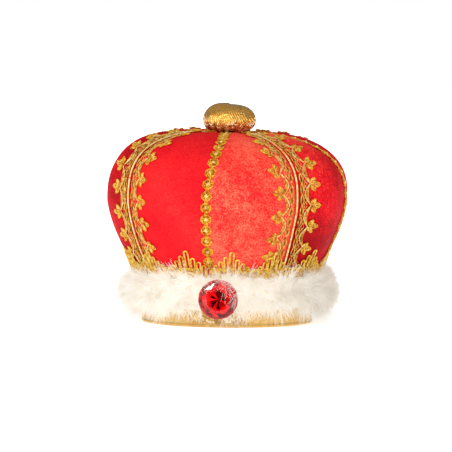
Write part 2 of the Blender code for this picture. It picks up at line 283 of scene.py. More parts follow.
def on_dome(azimuth, share, lift=0.0):
    """Points on the velvet. share runs from 0 at the neck to 1 at the band, lift is off the cloth."""
    azimuth, share, lift = np.broadcast_arrays(azimuth, share, lift)
    at = share * SEAM_LENGTH
    r, z = (np.interp(at, SEAM_AT, SEAM[:, i]) for i in (0, 1))
    out_r, out_z = (np.interp(at, SEAM_AT, SEAM_NORMAL[:, i]) for i in (0, 1))
    belly = np.sin(math.pi * azimuth / SEAM_STEP) ** 2 * np.sin(math.pi * np.clip(share, 0, 1)) ** 0.6
    away = lift + GORE_PUFF * belly
    r, z = r + out_r * away, z + out_z * away
    turned = hand_sewn(azimuth, share)
    x = r * np.sin(turned)
    high = np.clip((z - 100 * MM) / (80 * MM), 0, 1)
    return np.stack([x, -r * np.cos(turned), z - SLUMP * x * high], -1)


print(f"a seam is {1000 * SEAM_LENGTH:.0f} mm long, widest circle {2000 * DOME_RADIUS:.0f} mm")

# %% [markdown]
# ## Small tools
#
# A grid of quads, a way to turn arrays into a mesh, and a finishing step that every piece goes
# through: it is shaded smooth and put in the frame's body, and the frame nodes it stands for are
# hidden.

# %% Mesh and material helpers


def grid_mesh(name, points, wrap=False):
    """A mesh from an array of points (rows, columns, 3). wrap closes each row into a ring."""
    rows, columns = points.shape[:2]
    last = columns if wrap else columns - 1
    index = np.arange(rows * columns).reshape(rows, columns)
    across = np.roll(index, -1, axis=1)[:, :last]
    here = index[:, :last]
    faces = np.stack([here[:-1], across[:-1], across[1:], here[1:]], -1).reshape(-1, 4)
    data = bpy.data.meshes.new(name)
    data.from_pydata(points.reshape(-1, 3).tolist(), [], faces.tolist())
    data.update()
    return data


def place(name, data):
    obj = bpy.data.objects.new(name, data)
    bpy.context.scene.collection.objects.link(obj)
    return obj


def face_outwards(data, merge=1e-6):
    mesh = bmesh.new()
    mesh.from_mesh(data)
    bmesh.ops.remove_doubles(mesh, verts=mesh.verts, dist=merge)
    bmesh.ops.recalc_face_normals(mesh, faces=mesh.faces)
    mesh.to_mesh(data)
    mesh.free()


def full_turn(count):
    """Angles evenly round a circle."""
    return np.linspace(0, math.tau, count, endpoint=False)


def round_axis(r, a, z):
    """Points at radius r, azimuth a and height z."""
    r, a, z = np.broadcast_arrays(r, a, z)
    return np.stack([r * np.sin(a), -r * np.cos(a), z], -1)


def close_ends(data, sides):
    """Fills a tube's open ends and turns its faces outwards."""
    mesh = bmesh.new()
    mesh.from_mesh(data)
    bmesh.ops.holes_fill(mesh, edges=[e for e in mesh.edges if e.is_boundary], sides=sides)
    bmesh.ops.recalc_face_normals(mesh, faces=mesh.faces)
    mesh.to_mesh(data)
    mesh.free()


def thicken(obj, thickness, offset=-1.0):
    modifier = obj.modifiers.new("cloth_thickness", "SOLIDIFY")
    modifier.thickness = thickness
    modifier.offset = offset


def sew_in(obj, slot, *nodes):
    """Smooth faces, the crown's one body, and hidden frame nodes that it stands for. slot is not used."""
    obj.data.shade_smooth()
    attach(obj, "root")
    if nodes:
        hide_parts(*nodes)
    return obj


def tint(*colour):
    """A colour given as 0 to 255 screen values, in the linear values that shaders use."""
    return tuple((c / 255 / 12.92 if c / 255 < 0.04045 else ((c / 255 + 0.055) / 1.055) ** 2.4) for c in colour) + (1.0,)


def new_shader(name, colour, roughness, metallic=0.0, sheen=0.0, sheen_roughness=0.5, sheen_tint=None):
    material = bpy.data.materials.new(name)
    material.use_nodes = True
    tree = material.node_tree
    shader = tree.nodes["Principled BSDF"]
    shader.inputs["Base Color"].default_value = colour
    shader.inputs["Roughness"].default_value = roughness
    shader.inputs["Metallic"].default_value = metallic
    shader.inputs["Sheen Weight"].default_value = sheen
    shader.inputs["Sheen Roughness"].default_value = sheen_roughness
    if sheen_tint:
        shader.inputs["Sheen Tint"].default_value = sheen_tint
    return material, tree, shader


def node(tree, kind, **values):
    """A shader node with its settings and input values in one go."""
    made = tree.nodes.new(kind)
    for name, value in values.items():
        if hasattr(made, name):
            setattr(made, name, value)
        else:
            made.inputs[name.replace("_", " ")].default_value = value
    return made


def feed(tree, socket, value):
    """Links a socket to another, or sets it to a plain value."""
    if isinstance(value, bpy.types.NodeSocket):
        tree.links.new(value, socket)
    else:
        socket.default_value = value


def maths(tree, operation, *values):
    made = node(tree, "ShaderNodeMath", operation=operation)
    for socket, value in zip(made.inputs, values):
        feed(tree, socket, value)
    return made.outputs[0]


def object_space(tree):
    return node(tree, "ShaderNodeTexCoord").outputs["Object"]


def stored(tree, name):
    """A value that the mesh carries."""
    return node(tree, "ShaderNodeAttribute", attribute_name=name).outputs["Fac"]


def noise_of(tree, coordinates, scale, detail=2.0, distortion=0.0):
    made = node(tree, "ShaderNodeTexNoise", Scale=scale, Detail=detail, Distortion=distortion)
    tree.links.new(coordinates, made.inputs["Vector"])
    return made.outputs["Fac"]


def ramp(tree, value, *stops):
    """A colour ramp. Each stop is (position, colour)."""
    made = tree.nodes.new("ShaderNodeValToRGB")
    elements = made.color_ramp.elements
    while len(elements) < len(stops):
        elements.new(0.5)
    for element, (position, colour) in zip(elements, stops):
        element.position = position
        element.color = colour
    tree.links.new(value, made.inputs["Fac"])
    return made.outputs["Color"]


def bump(tree, shader, height, distance, strength=1.0, under=None):
    made = node(tree, "ShaderNodeBump", Strength=strength, Distance=distance)
    tree.links.new(height, made.inputs["Height"])
    if under is not None:
        tree.links.new(under, made.inputs["Normal"])
    tree.links.new(made.outputs["Normal"], shader.inputs["Normal"])
    return made.outputs["Normal"]


def mixed(tree, factor, first, second, blend="MIX"):
    """Mixes two colours by a factor. Either colour is a socket or a plain colour."""
    made = tree.nodes.new("ShaderNodeMix")
    made.data_type = "RGBA"
    made.blend_type = blend
    sockets = [s for s in made.inputs if s.type == "RGBA"]
    for socket, colour in zip(sockets, (first, second)):
        feed(tree, socket, colour)
    feed(tree, made.inputs["Factor"], factor)
    return next(s for s in made.outputs if s.type == "RGBA")


def mixed_plain(first, second, share):
    return tuple(a + (b - a) * share for a, b in zip(first, second))


# %% [markdown]
# ## Velvet
#
# Crushed velvet is a short pile that leans different ways. Where it leans towards the light it
# looks pale and orange, where it leans away it looks deep crimson. Each gore is cut separately, so
# the pile of neighbouring gores leans differently: some look smooth, some mottled. The material
# mixes a deep and a pale red by painted light and shade, which each gore's mesh carries as the
# pile's lean, and by soft blotches and fine mottling. It adds a sheen for the pile's tips, and a
# fine bump for the fibres.

# %% Velvet material
PILE_COLOURS = (
    (0.0, tint(146, 2, 12)), (0.35, tint(212, 8, 26)), (0.65, tint(236, 42, 40)), (1.0, tint(250, 108, 82)),
)


def velvet(name, crush):
    """crush, 0 to 1, is how much the pile is trodden. The mesh carries painted light and shade, as how far the pile
    leans to the light.
    """
    material, tree, shader = new_shader(name, PILE_COLOURS[1][1], 0.75, 0.0, 0.08, 0.4, tint(255, 90, 70))
    shader.inputs["Specular IOR Level"].default_value = 0.08
    at = object_space(tree)
    fine = noise_of(tree, at, 620.0, 4.0, 0.3)
    patch = noise_of(tree, at, 105.0, 3.0, 0.8)
    grain = noise_of(tree, at, 1700.0, 2.0)
    # lean is painted light and shade on the pile, which the mesh carries.
    total = stored(tree, "lean")
    for field, amount in ((fine, 0.7 * crush + 0.12), (patch, 0.38 * crush), (grain, 0.26)):
        total = maths(tree, "ADD", total, maths(tree, "MULTIPLY_ADD", field, 2.4 * amount, -1.2 * amount))
    tree.links.new(ramp(tree, total, *PILE_COLOURS), shader.inputs["Base Color"])
    lay = bump(tree, shader, fine, 0.0005 * (0.3 + crush), 0.7)
    bump(tree, shader, grain, 0.00015, 0.6, lay)
    return material


# %% [markdown]
# ## Foam under the velvet
#
# Each gore is backed by its own panel of laminating foam, which gives the dome its body. The dome
# has settled a little with wear, so the panels are laid again on the settled surface.

# %% Foam panels
FOAM_COLUMNS, FOAM_ROWS = 14, 40


def two_tone(name, low, high, blotches, weave, edges, relief, roughness, sheen=0.0):
    """Two tones in blotches and a bumpy weave, both (scale, detail). relief is the bump's depth and strength."""
    material, tree, shader = new_shader(name, high, roughness, 0.0, sheen)
    at = object_space(tree)
    tones = ramp(tree, noise_of(tree, at, *blotches), (edges[0], low), (edges[1], high))
    tree.links.new(tones, shader.inputs["Base Color"])
    bump(tree, shader, noise_of(tree, at, *weave), *relief)
    return material


def cloth_material(name, low, high, scale):
    """Plain soft stuff."""
    return two_tone(name, low, high, (scale, 4.0), (4 * scale, 3.0), (0.35, 0.65), (0.0003, 0.6), 0.9)


def make_foam():
    foam = cloth_material("laminating_foam", tint(214, 208, 192), tint(240, 236, 224), 500.0)
    for index in range(GORES):
        share = np.linspace(0.02, 0.995, FOAM_ROWS)[:, None]
        inset = 0.5 * MM / seam_radius(share)
        azimuth = index * SEAM_STEP + inset + (SEAM_STEP - 2 * inset) * np.linspace(0, 1, FOAM_COLUMNS)[None, :]
        points = on_dome(azimuth, share, -3.4 * MM)
        panel = place(f"foam_lay_{index + 1}", grid_mesh("foam", points[::-1]))
        panel.data.materials.append(foam)
        thicken(panel, 3.2 * MM)
        sew_in(panel, "white_foam", f"foam_panel_{index + 1}")
    return GORES


print(f"{make_foam()} foam panels")

# %% [markdown]
# ## The eight gores
#
# A gore is cut flat and pulled over foam. I give each one a fine grid on the dome's surface, tuck
# its edges down into the seam, and move the cloth in and out a little: soft undulations, and short
# puckers where the seam's thread draws it in. The shape is drawn directly, with no cloth
# simulation, so that it is exact at the seams.

# %% Gores
GORE_COLUMNS, GORE_ROWS = 46, 104
VELVET_THICKNESS = 1.0 * MM
# For gore 1 onwards, round from the front seam: the painted light and shade of the pile, as how far it
# leans to the light, at the top and at the foot, and how crushed it is.
PILE = (
    (0.76, 0.76, 0.62), (0.84, -0.02, 0.80), (0.40, 0.30, 0.50), (0.50, 0.35, 0.55),
    (0.62, 0.50, 0.40), (0.45, 0.30, 0.60), (0.16, 0.10, 0.40), (0.42, 0.46, 0.22),
)


def painted_pile_light(points, share, index):
    """Painted light and shade on the pile, 0 to 1, as how far it leans to the light: a slope from top to foot, and
    broad soft streaks.
    """
    top, foot, crush = PILE[index]
    streaks = [noise.noise(Vector((20 * p[0] + 16 * p[2] + index, 20 * p[1], 9 * p[2] - 12 * p[0]))) for p in points]
    return top + (foot - top) * np.clip(1.6 * share - 0.3, 0, 1) + (0.10 + 0.28 * crush) * np.array(streaks)


def gore_relief(azimuth, share, seed):
    """How far the cloth stands off the ideal dome: seam tuck, puckers and undulations."""
    from_seam = np.abs((azimuth / SEAM_STEP + 0.5) % 1 - 0.5) * SEAM_STEP * seam_radius(share)
    tuck = -1.3 * MM * np.exp(-((from_seam / (3.5 * MM)) ** 2))
    rng = np.random.default_rng(seed)
    phase = rng.uniform(0, math.tau, 8)
    run = share * SEAM_LENGTH
    side = np.sign((azimuth / SEAM_STEP + 0.5) % 1 - 0.5)
    ripple = np.sin(run / (2.6 * MM) + phase[0] + 1.5 * np.sin(run / (9 * MM) + side + phase[1]))
    pucker = 0.35 * MM * ripple * np.exp(-(((from_seam - 9 * MM) / (7 * MM)) ** 2))
    wave = np.zeros_like(from_seam)
    for k in range(5):
        wave += np.sin((2 + k) * azimuth * 1.7 + (9 + 5 * k) * share + phase[2 + k]) / (1.5 + k)
    settle = 0.9 * MM * wave * np.clip(from_seam / (25 * MM), 0, 1)
    return tuck + pucker + settle


def make_gores():
    total = 0.0
    for index in range(GORES):
        share = np.linspace(0, 1, GORE_ROWS)[:, None]
        inset = 0.1 * MM / seam_radius(share)
        across = np.linspace(0, 1, GORE_COLUMNS)[None, :]
        across = 0.5 - 0.5 * np.cos(math.pi * across) * (0.6 + 0.4 * np.abs(np.cos(math.pi * across)))
        azimuth = index * SEAM_STEP + inset + (SEAM_STEP - 2 * inset) * across
        share = share + 0 * azimuth
        points = on_dome(azimuth, share, gore_relief(azimuth, share, 40 + index))
        gore = place(f"velvet_gore_{index + 1}", grid_mesh("velvet_gore", points[::-1]))
        area = sum(face.area for face in gore.data.polygons)
        # The lean attribute is painted light and shade on the pile, set per gore.
        lean = gore.data.attributes.new("lean", "FLOAT", "POINT")
        lean.data.foreach_set("value", painted_pile_light(points[::-1].reshape(-1, 3), share[::-1].ravel(), index))
        gore.data.materials.append(velvet(f"red_velvet_{index + 1}", PILE[index][2]))
        thicken(gore, VELVET_THICKNESS)
        sew_in(gore, "red_velvet", f"gore_{index + 1}")
        total += area
    return total


print(f"{GORES} gores, {make_gores():.3f} square metres of velvet")

# %% [markdown]
# ## Metallic cord
#
# All the braids are gimp: a soft core wrapped with flat metallised thread. It is not solid metal.
# It glints, but between the glints it is amber, olive or brown. The wraps run across the cord, so
# the material reads how far along the cord it is, which the node tree below stores on the mesh.

# %% Cord materials
WRAP_PITCH = 0.55 * MM


def cord_gold(name, dark, body, bright, roughness, metallic):
    material, tree, shader = new_shader(name, body, roughness, metallic)
    shader.inputs["Specular IOR Level"].default_value = 0.12
    at = object_space(tree)
    patch = noise_of(tree, at, 330.0, 2.0)
    glint = noise_of(tree, at, 1500.0, 1.0)
    colour = ramp(tree, patch, (0.34, dark), (0.48, body), (0.66, bright))
    # glints is painted sparkle: fine bright and dark specks mixed into the base colour.
    glints = ramp(tree, glint, (0.40, dark), (0.62, bright))
    tree.links.new(mixed(tree, 0.30, colour, glints), shader.inputs["Base Color"])
    wraps = maths(tree, "SINE", maths(tree, "MULTIPLY", stored(tree, "along"), math.tau / WRAP_PITCH))
    bump(tree, shader, wraps, 0.00012, 0.8)
    return material


AMBER = cord_gold("amber_gimp", tint(134, 66, 0), tint(250, 162, 6), tint(255, 230, 86), 0.38, 0.2)
OLIVE = cord_gold("olive_gimp", tint(104, 54, 0), tint(242, 158, 10), tint(255, 238, 120), 0.36, 0.2)
PALE_GOLD = cord_gold("pale_gold_cord", tint(232, 140, 26), tint(255, 220, 110), tint(255, 250, 210), 0.26, 0.3)
LOOP_GOLD = cord_gold("loop_gimp", tint(176, 100, 4), tint(255, 190, 34), tint(255, 240, 130), 0.32, 0.2)
NET_GOLD = cord_gold("net_gimp", tint(204, 110, 6), tint(255, 190, 36), tint(255, 246, 160), 0.30, 0.2)
NEAR_BLACK_CORD = cord_gold("near_black_cord", tint(16, 8, 0), tint(70, 34, 0), tint(150, 90, 10), 0.4, 0.4)

# %% [markdown]
# ## One tree for every braid
#
# A braid repeats one drawing. I draw that drawing once, as curves on a flat table, and let
# Geometry Nodes repeat it along a line and give it the round section of a cord. Its inputs are the
# drawing, the pitch, the count, the cord's radius and its number of sides. A little random turn and
# size, with a fixed seed, keeps it from looking stamped. The tree also stores how far along its
# cord each point is.

# %% The repeat tree


class Tree:
    """A geometry node tree that is quick to write: named inputs, and nodes linked as they are made."""

    def __init__(self, name, **inputs):
        self.group = bpy.data.node_groups.new(name, "GeometryNodeTree")
        self.sockets = {}
        for label, (kind, value) in {"Geometry": ("NodeSocketGeometry", None), **inputs}.items():
            socket = self.group.interface.new_socket(label, in_out="INPUT", socket_type=kind)
            if value is not None:
                socket.default_value = value
            self.sockets[label] = socket.identifier
        self.group.interface.new_socket("Geometry", in_out="OUTPUT", socket_type="NodeSocketGeometry")
        self.enter = self.group.nodes.new("NodeGroupInput")

    def __getitem__(self, label):
        return self.enter.outputs[label]

    def add(self, kind, links=(), **settings):
        made = self.group.nodes.new(kind)
        for name, value in settings.items():
            setattr(made, name, value)
        for key, value in dict(links).items():
            feed(self.group, made.inputs[key], value)
        return made

    def maths(self, operation, *values):
        return self.add("ShaderNodeMath", enumerate(values), operation=operation).outputs[0]

    def vector(self, operation, *values):
        made = self.add("ShaderNodeVectorMath", operation=operation)
        for index, value in enumerate(values):
            socket = made.inputs["Scale"] if operation == "SCALE" and index == 1 else made.inputs[index]
            feed(self.group, socket, value)
        return made.outputs["Value"] if operation in ("LENGTH", "DOT_PRODUCT", "DISTANCE") else made.outputs["Vector"]

    def any_number(self, low, high, **links):
        made = self.add("FunctionNodeRandomValue", links, data_type="FLOAT")
        made.inputs[2].default_value, made.inputs[3].default_value = low, high
        return made.outputs[1]

    def any_vector(self, low, high, **links):
        links = {"Min": low, "Max": high, **links}
        return self.add("FunctionNodeRandomValue", links, data_type="FLOAT_VECTOR").outputs["Value"]

    def store(self, geometry, name, value, kind="FLOAT"):
        links = {"Geometry": geometry, "Name": name, "Value": value}
        return self.add("GeometryNodeStoreNamedAttribute", links, data_type=kind).outputs[0]

    def recall(self, name, kind="FLOAT"):
        return self.add("GeometryNodeInputNamedAttribute", {"Name": name}, data_type=kind).outputs["Attribute"]

    def leave(self, geometry):
        self.group.links.new(geometry, self.add("NodeGroupOutput").inputs["Geometry"])

    def run(self, name, data, **values):
        """Runs the tree on a mesh and returns a plain mesh object, with no modifier left on it."""
        carrier = place(name + "_carrier", data)
        modifier = carrier.modifiers.new("tree", "NODES")
        modifier.node_group = self.group
        for label, value in values.items():
            modifier[self.sockets[label.replace("_", " ")]] = value
        graph = bpy.context.evaluated_depsgraph_get()
        made = bpy.data.meshes.new_from_object(carrier.evaluated_get(graph))
        bpy.data.objects.remove(carrier)
        return made


def build_repeat_tree():
    tree = Tree(
        "repeat_a_drawing",
        Drawing=("NodeSocketObject", None),
        Pitch=("NodeSocketFloat", 0.01),
        Count=("NodeSocketInt", 1),
        Radius=("NodeSocketFloat", 0.0005),
        Sides=("NodeSocketInt", 5),
        Turn=("NodeSocketFloat", 0.0),
        Material=("NodeSocketMaterial", None),
        Seed=("NodeSocketInt", 1),
    )
    step = tree.add("ShaderNodeCombineXYZ", {"Y": tree["Pitch"]})
    line = tree.add("GeometryNodeMeshLine", {"Count": tree["Count"], "Offset": step.outputs[0]})
    drawing = tree.add("GeometryNodeObjectInfo", {"Object": tree["Drawing"]})
    most = tree.add("ShaderNodeCombineXYZ", {"Z": tree["Turn"]})
    least = tree.vector("SCALE", most.outputs[0], -1.0)
    links = {
        "Points": line.outputs["Mesh"],
        "Instance": drawing.outputs["Geometry"],
        "Rotation": tree.any_vector(least, most.outputs[0], Seed=tree["Seed"]),
        "Scale": tree.any_number(0.96, 1.04, Seed=tree["Seed"]),
    }
    copies = tree.add("GeometryNodeInstanceOnPoints", links)
    real = tree.add("GeometryNodeRealizeInstances", {"Geometry": copies.outputs["Instances"]})
    length = tree.add("GeometryNodeSplineParameter").outputs["Length"]
    marked = tree.store(real.outputs[0], "along", length)
    section = tree.add("GeometryNodeCurvePrimitiveCircle", {"Resolution": tree["Sides"], "Radius": tree["Radius"]})
    cord = tree.add(
        "GeometryNodeCurveToMesh",
        {"Curve": marked, "Profile Curve": section.outputs["Curve"], "Fill Caps": True},
    )
    final = tree.add("GeometryNodeSetMaterial", {"Geometry": cord.outputs["Mesh"], "Material": tree["Material"]})
    tree.leave(final.outputs[0])
    return tree


REPEAT = build_repeat_tree()


def drawing(name, *lines):
    """Curves on the flat table. Each line is (points, closed), points an array of x, y, z."""
    data = bpy.data.curves.new(name, "CURVE")
    data.dimensions = "3D"
    for points, closed in lines:
        spline = data.splines.new("POLY")
        spline.points.add(len(points) - 1)
        spline.points.foreach_set("co", np.c_[points, np.ones(len(points))].ravel())
        spline.use_cyclic_u = closed
    obj = place(name, data)
    obj.hide_render = True
    return obj


def repeated(name, lines, pitch, count, radius, material, sides=5, turn=0.0, seed=1):
    """A flat mesh of a drawing repeated along +Y, as cord."""
    table = drawing(name + "_drawing", *lines)
    empty = bpy.data.meshes.new(name)
    size = {"Pitch": pitch, "Count": count, "Radius": radius, "Sides": sides, "Turn": turn}
    made = REPEAT.run(name, empty, Drawing=table, Material=material, Seed=seed, **size)
    bpy.data.objects.remove(table)
    return made


def joined(name, meshes):
    """One mesh of several, keeping their materials and attributes."""
    parts = [place(f"{name}_{i}", data) for i, data in enumerate(meshes)]
    with bpy.context.temp_override(active_object=parts[0], selected_editable_objects=parts, object=parts[0]):
        bpy.ops.object.join()
    whole = parts[0]
    data = whole.data
    bpy.data.objects.remove(whole)
    return data


def points_of(data):
    flat = np.empty(3 * len(data.vertices), np.float32)
    data.vertices.foreach_get("co", flat)
    return flat.reshape(-1, 3).astype(float)


def set_points(data, points):
    data.vertices.foreach_set("co", points.astype(np.float32).ravel())
    data.update()


def circle(radius, count, centre=(0, 0, 0), stretch=1.0):
    turn = full_turn(count)
    return np.stack([radius * np.cos(turn), stretch * radius * np.sin(turn), 0 * turn], 1) + centre


def path(x, y, z=0.0):
    x, y, z = np.broadcast_arrays(x, y, z)
    return np.stack([x, y, z], 1).astype(float)


# %% [markdown]
# ## Flower-chain braid
#
# This narrow braid is a chain of rosettes. Each one is a cord thrown in eight small loops round a
# raised knot, and three short threads tie it to the next. The ring of loops is an epitrochoid,
# which is exactly what a braiding machine's moving carrier draws. It is made flat, with its length
# along Y, and then laid over the seam.

# %% Flower chain, flat
FLOWER_PITCH = 12.4 * MM
FLOWER_LOOPS = 8
FLOWER_START, FLOWER_END = 0.055, 0.945  # shares of the seam


def rosette():
    turn = full_turn(12 * FLOWER_LOOPS)
    ring, loop = 3.75 * MM, 1.75 * MM
    x = ring * np.cos(turn) - loop * np.cos((FLOWER_LOOPS + 1) * turn)
    y = 0.93 * (ring * np.sin(turn) - loop * np.sin((FLOWER_LOOPS + 1) * turn))
    return path(x, y, 0.35 * MM * np.sin(2 * FLOWER_LOOPS * turn))


def flower_chain():
    count = int(round((FLOWER_END - FLOWER_START) * SEAM_LENGTH / FLOWER_PITCH))
    y = np.linspace(3.4 * MM, FLOWER_PITCH - 3.4 * MM, 7)
    bow = np.sin(np.linspace(0, math.pi, 7))
    ties = [(path(side * (0.9 * MM + 0.35 * MM * bow), y, 0.5 * MM * bow), False) for side in (-1, 0, 1)]
    knot = [(circle(1.0 * MM, 10, (0, 0, 1.0 * MM)), True), (circle(0.35 * MM, 5, (0, 0, 1.7 * MM)), True)]
    hub = [(circle(1.9 * MM, 12, (0, 0, 0.6 * MM), 0.9), True)]
    made = [
        repeated("rosettes", [(rosette(), True)], FLOWER_PITCH, count, 0.46 * MM, AMBER, 5, 0.12, 3),
        repeated("hubs", hub, FLOWER_PITCH, count, 0.40 * MM, OLIVE, 5, 0.1, 4),
        repeated("knots", knot, FLOWER_PITCH, count, 0.55 * MM, PALE_GOLD, 6, 0.3, 5),
        repeated("ties", ties, FLOWER_PITCH, count, 0.42 * MM, AMBER, 5, 0.0, 6),
    ]
    return joined("flower_chain", made), count


CHAIN, CHAIN_COUNT = flower_chain()
print(f"{CHAIN_COUNT} rosettes in a chain, {len(CHAIN.polygons)} faces")

# %% [markdown]
# ## Leaf braid
#
# The wide braid is built out from a smooth pale cord over the seam. On each side come a strip of
# bare velvet, a chain of lens-shaped links with a near-black cord down each, a pair of cords that
# swing in and out, and a three-lobed leaf wherever they swing out. One side is drawn, and the other
# is its mirror, half a repeat further on.

# %% Leaf braid, flat
LEAF_PITCH = 23.7 * MM
LINK_PITCH = LEAF_PITCH / 2
LEAF_START, LEAF_END = 0.07, 0.945
CHAIN_X = 6.6 * MM
LINK_HALF_WIDTH = 2.1 * MM
SWING_IN, SWING_OUT = 10.6 * MM, 18.4 * MM
LEAF_BASE_X = 18.6 * MM
# For each lobe of a leaf: its angle, how far its middle is from the leaf's base, half its length and width.
LOBES = ((0.95, 5.0, 3.4, 2.3), (0.0, 7.6, 4.3, 2.5), (-0.95, 5.0, 3.4, 2.3))


def lobe(angle, reach, long, wide):
    """One lobe of a leaf, a pointed loop."""
    turn = full_turn(16)
    x = reach + long * np.cos(turn)
    y = wide * np.sin(turn) * (1 - 0.35 * np.cos(turn))
    c, s = math.cos(angle), math.sin(angle)
    return path(LEAF_BASE_X + x * c - y * s, x * s + y * c, 0.6 * MM + 0.5 * MM * np.cos(turn))


def one_side(side, shift):
    """The drawings of one side of the braid: (name, lines, pitch, radius, material, sides, turn)."""

    def mirrored(points):
        return points * (side, 1, 1) + (0, shift, 0)

    y = np.linspace(0, LINK_PITCH, 9)
    lens = LINK_HALF_WIDTH * np.sin(math.pi * y / LINK_PITCH) ** 0.8
    lift = 0.3 * MM * np.cos(math.tau * y / LINK_PITCH)
    links = [(mirrored(path(CHAIN_X + sign * lens, y, sign * lift)), False) for sign in (-1, 1)]
    # A near-black cord down the middle of each link.
    dark = [(mirrored(path(CHAIN_X, y[3:-2], 0.1 * MM)), False)]
    fine = [(mirrored(path(CHAIN_X + sign * 0.55 * lens, y, -0.2 * MM)), False) for sign in (-1, 1)]
    y = np.linspace(0, LEAF_PITCH, 19)
    swing = np.abs(np.sin(math.pi * y / LEAF_PITCH)) ** 0.85
    gaps = (0.0, 2.0 * MM, 3.6 * MM)
    swings = [
        (mirrored(path(SWING_OUT - (SWING_OUT - SWING_IN - gap) * swing, y, 0.35 * MM * swing)), False)
        for gap in gaps
    ]
    net = [
        (mirrored(path(CHAIN_X + 4.6 * MM + 1.9 * MM * np.cos(math.tau * y / LINK_PITCH + k), y, -0.1 * MM)), False)
        for k in (0.0, 3.1)
    ]
    leaf, veins = [], []
    for angle, reach, long, wide in LOBES:
        leaf.append((mirrored(lobe(angle, reach * MM, long * MM, wide * MM)), True))
        veins.append((mirrored(lobe(angle, reach * MM, 0.52 * long * MM, 0.42 * wide * MM)), True))
    return (
        ("links", links, LINK_PITCH, 0.46 * MM, OLIVE, 5, 0.0),
        ("dark_threads", dark, LINK_PITCH, 0.42 * MM, NEAR_BLACK_CORD, 5, 0.0),
        ("fine_threads", fine, LINK_PITCH, 0.26 * MM, NET_GOLD, 4, 0.0),
        ("swings", swings[:1], LEAF_PITCH, 0.5 * MM, PALE_GOLD, 5, 0.0),
        ("outer_swings", swings[1:], LEAF_PITCH, 0.42 * MM, OLIVE, 5, 0.0),
        ("net", net, LEAF_PITCH, 0.28 * MM, NET_GOLD, 4, 0.0),
        ("leaves", leaf, LEAF_PITCH, 0.62 * MM, AMBER, 5, 0.09),
        ("veins", veins, LEAF_PITCH, 0.52 * MM, NET_GOLD, 5, 0.09),
    )


def leaf_braid():
    length = (LEAF_END - LEAF_START) * SEAM_LENGTH
    count = int(round(length / LEAF_PITCH))
    middle = [(path(0, np.linspace(0, length, 140), 0.7 * MM), False)]
    made = [repeated("middle_cord", middle, 1, 1, 1.0 * MM, PALE_GOLD, 8)]
    for side, shift in ((1, 0.0), (-1, 0.5 * LEAF_PITCH)):
        for name, lines, pitch, radius, material, sides, turn in one_side(side, shift):
            copies = count * round(LEAF_PITCH / pitch) - (side < 0) * round(LEAF_PITCH / pitch / 2)
            made.append(repeated(name, lines, pitch, copies, radius, material, sides, turn, 7))
    return joined("leaf_braid", made), count


LEAVES, LEAF_COUNT = leaf_braid()
print(f"{LEAF_COUNT} leaves a side, {len(LEAVES.polygons)} faces")

# %% [markdown]
# ## Laying the braids over the seams
#
# The flat braid's Y becomes distance down the seam and its X distance across it. Near the ball
# the eight braids run together, so each is squeezed narrower there, as a real one is eased in by
# hand.

# %% Braids on their seams
BRAID_LIFT = 0.9 * MM


def lay_on_seam(data, azimuth, start, crowding):
    """Bends a flat braid over the dome. crowding is the width at which neighbours would touch."""
    flat = points_of(data)
    share = start + flat[:, 1] / SEAM_LENGTH
    r = seam_radius(share)
    room = np.clip((2 * r * math.tan(SEAM_STEP / 2) - 11 * MM) / crowding, 0.2, 1)
    sway = 0.6 * MM * np.sin(14 * share + 9 * azimuth)
    across = (flat[:, 0] * room + sway) / r
    relief = gore_relief(azimuth + across, share, 40)
    lift = BRAID_LIFT + flat[:, 2] + 0.35 * np.clip(relief, -1 * MM, 1 * MM)
    bent = data.copy()
    set_points(bent, on_dome(azimuth + across, share, lift))
    return bent


def make_seam_braids():
    for index in range(GORES // 2):
        azimuth = 2 * index * SEAM_STEP
        chain = place(f"flower_chain_{index + 1}", lay_on_seam(CHAIN, azimuth, FLOWER_START, 1 * MM))
        sew_in(chain, "gold_braid", f"flower_braid_{index + 1}")
        leaves = place(f"leaf_trim_{index + 1}", lay_on_seam(LEAVES, azimuth + SEAM_STEP, LEAF_START, 60 * MM))
        sew_in(leaves, "gold_braid", f"leaf_braid_{index + 1}")


make_seam_braids()

# %% [markdown]
# ## Loop-fan braid
#
# Round the foot of the dome runs a braid of upright loops. Their heights rise and fall in fans of
# nine, and seven close wavy rows hold them. Fourteen fans go round, with a valley at the front
# seam. It is drawn flat with X round the crown and Y up, then wrapped round.

# %% Loop fans
FANS = 14
FAN_HEIGHTS = (4.0, 7.5, 12.5, 18.0, 24.0, 15.5, 11.0, 7.0, 4.0)  # millimetres above the top row
LOOP_ROW_SHARE = 0.925
LOOP_ROWS = (4.2, 2.4, 0.6, -1.2, -3.0, -4.8, -6.6)  # millimetres


def loop_fan_lines(width):
    pitch = width / len(FAN_HEIGHTS)
    lines = []
    for index, height in enumerate(FAN_HEIGHTS):
        middle = (index + 0.5) * pitch
        half = 0.36 * pitch
        top = height * MM - half
        bend = np.linspace(0, math.pi, 8)
        lean = 0.04 * (index - 4) * height * MM
        over = middle + lean - half * np.cos(bend)
        x = np.r_[middle - half * 1.2, middle - half, over, middle + half, middle + half * 1.2]
        y = np.r_[-9 * MM, 0, top + half * np.sin(bend), 0, -9 * MM]
        lines.append((path(x, y, 0.15 * MM * (index % 2)), False))
    return lines


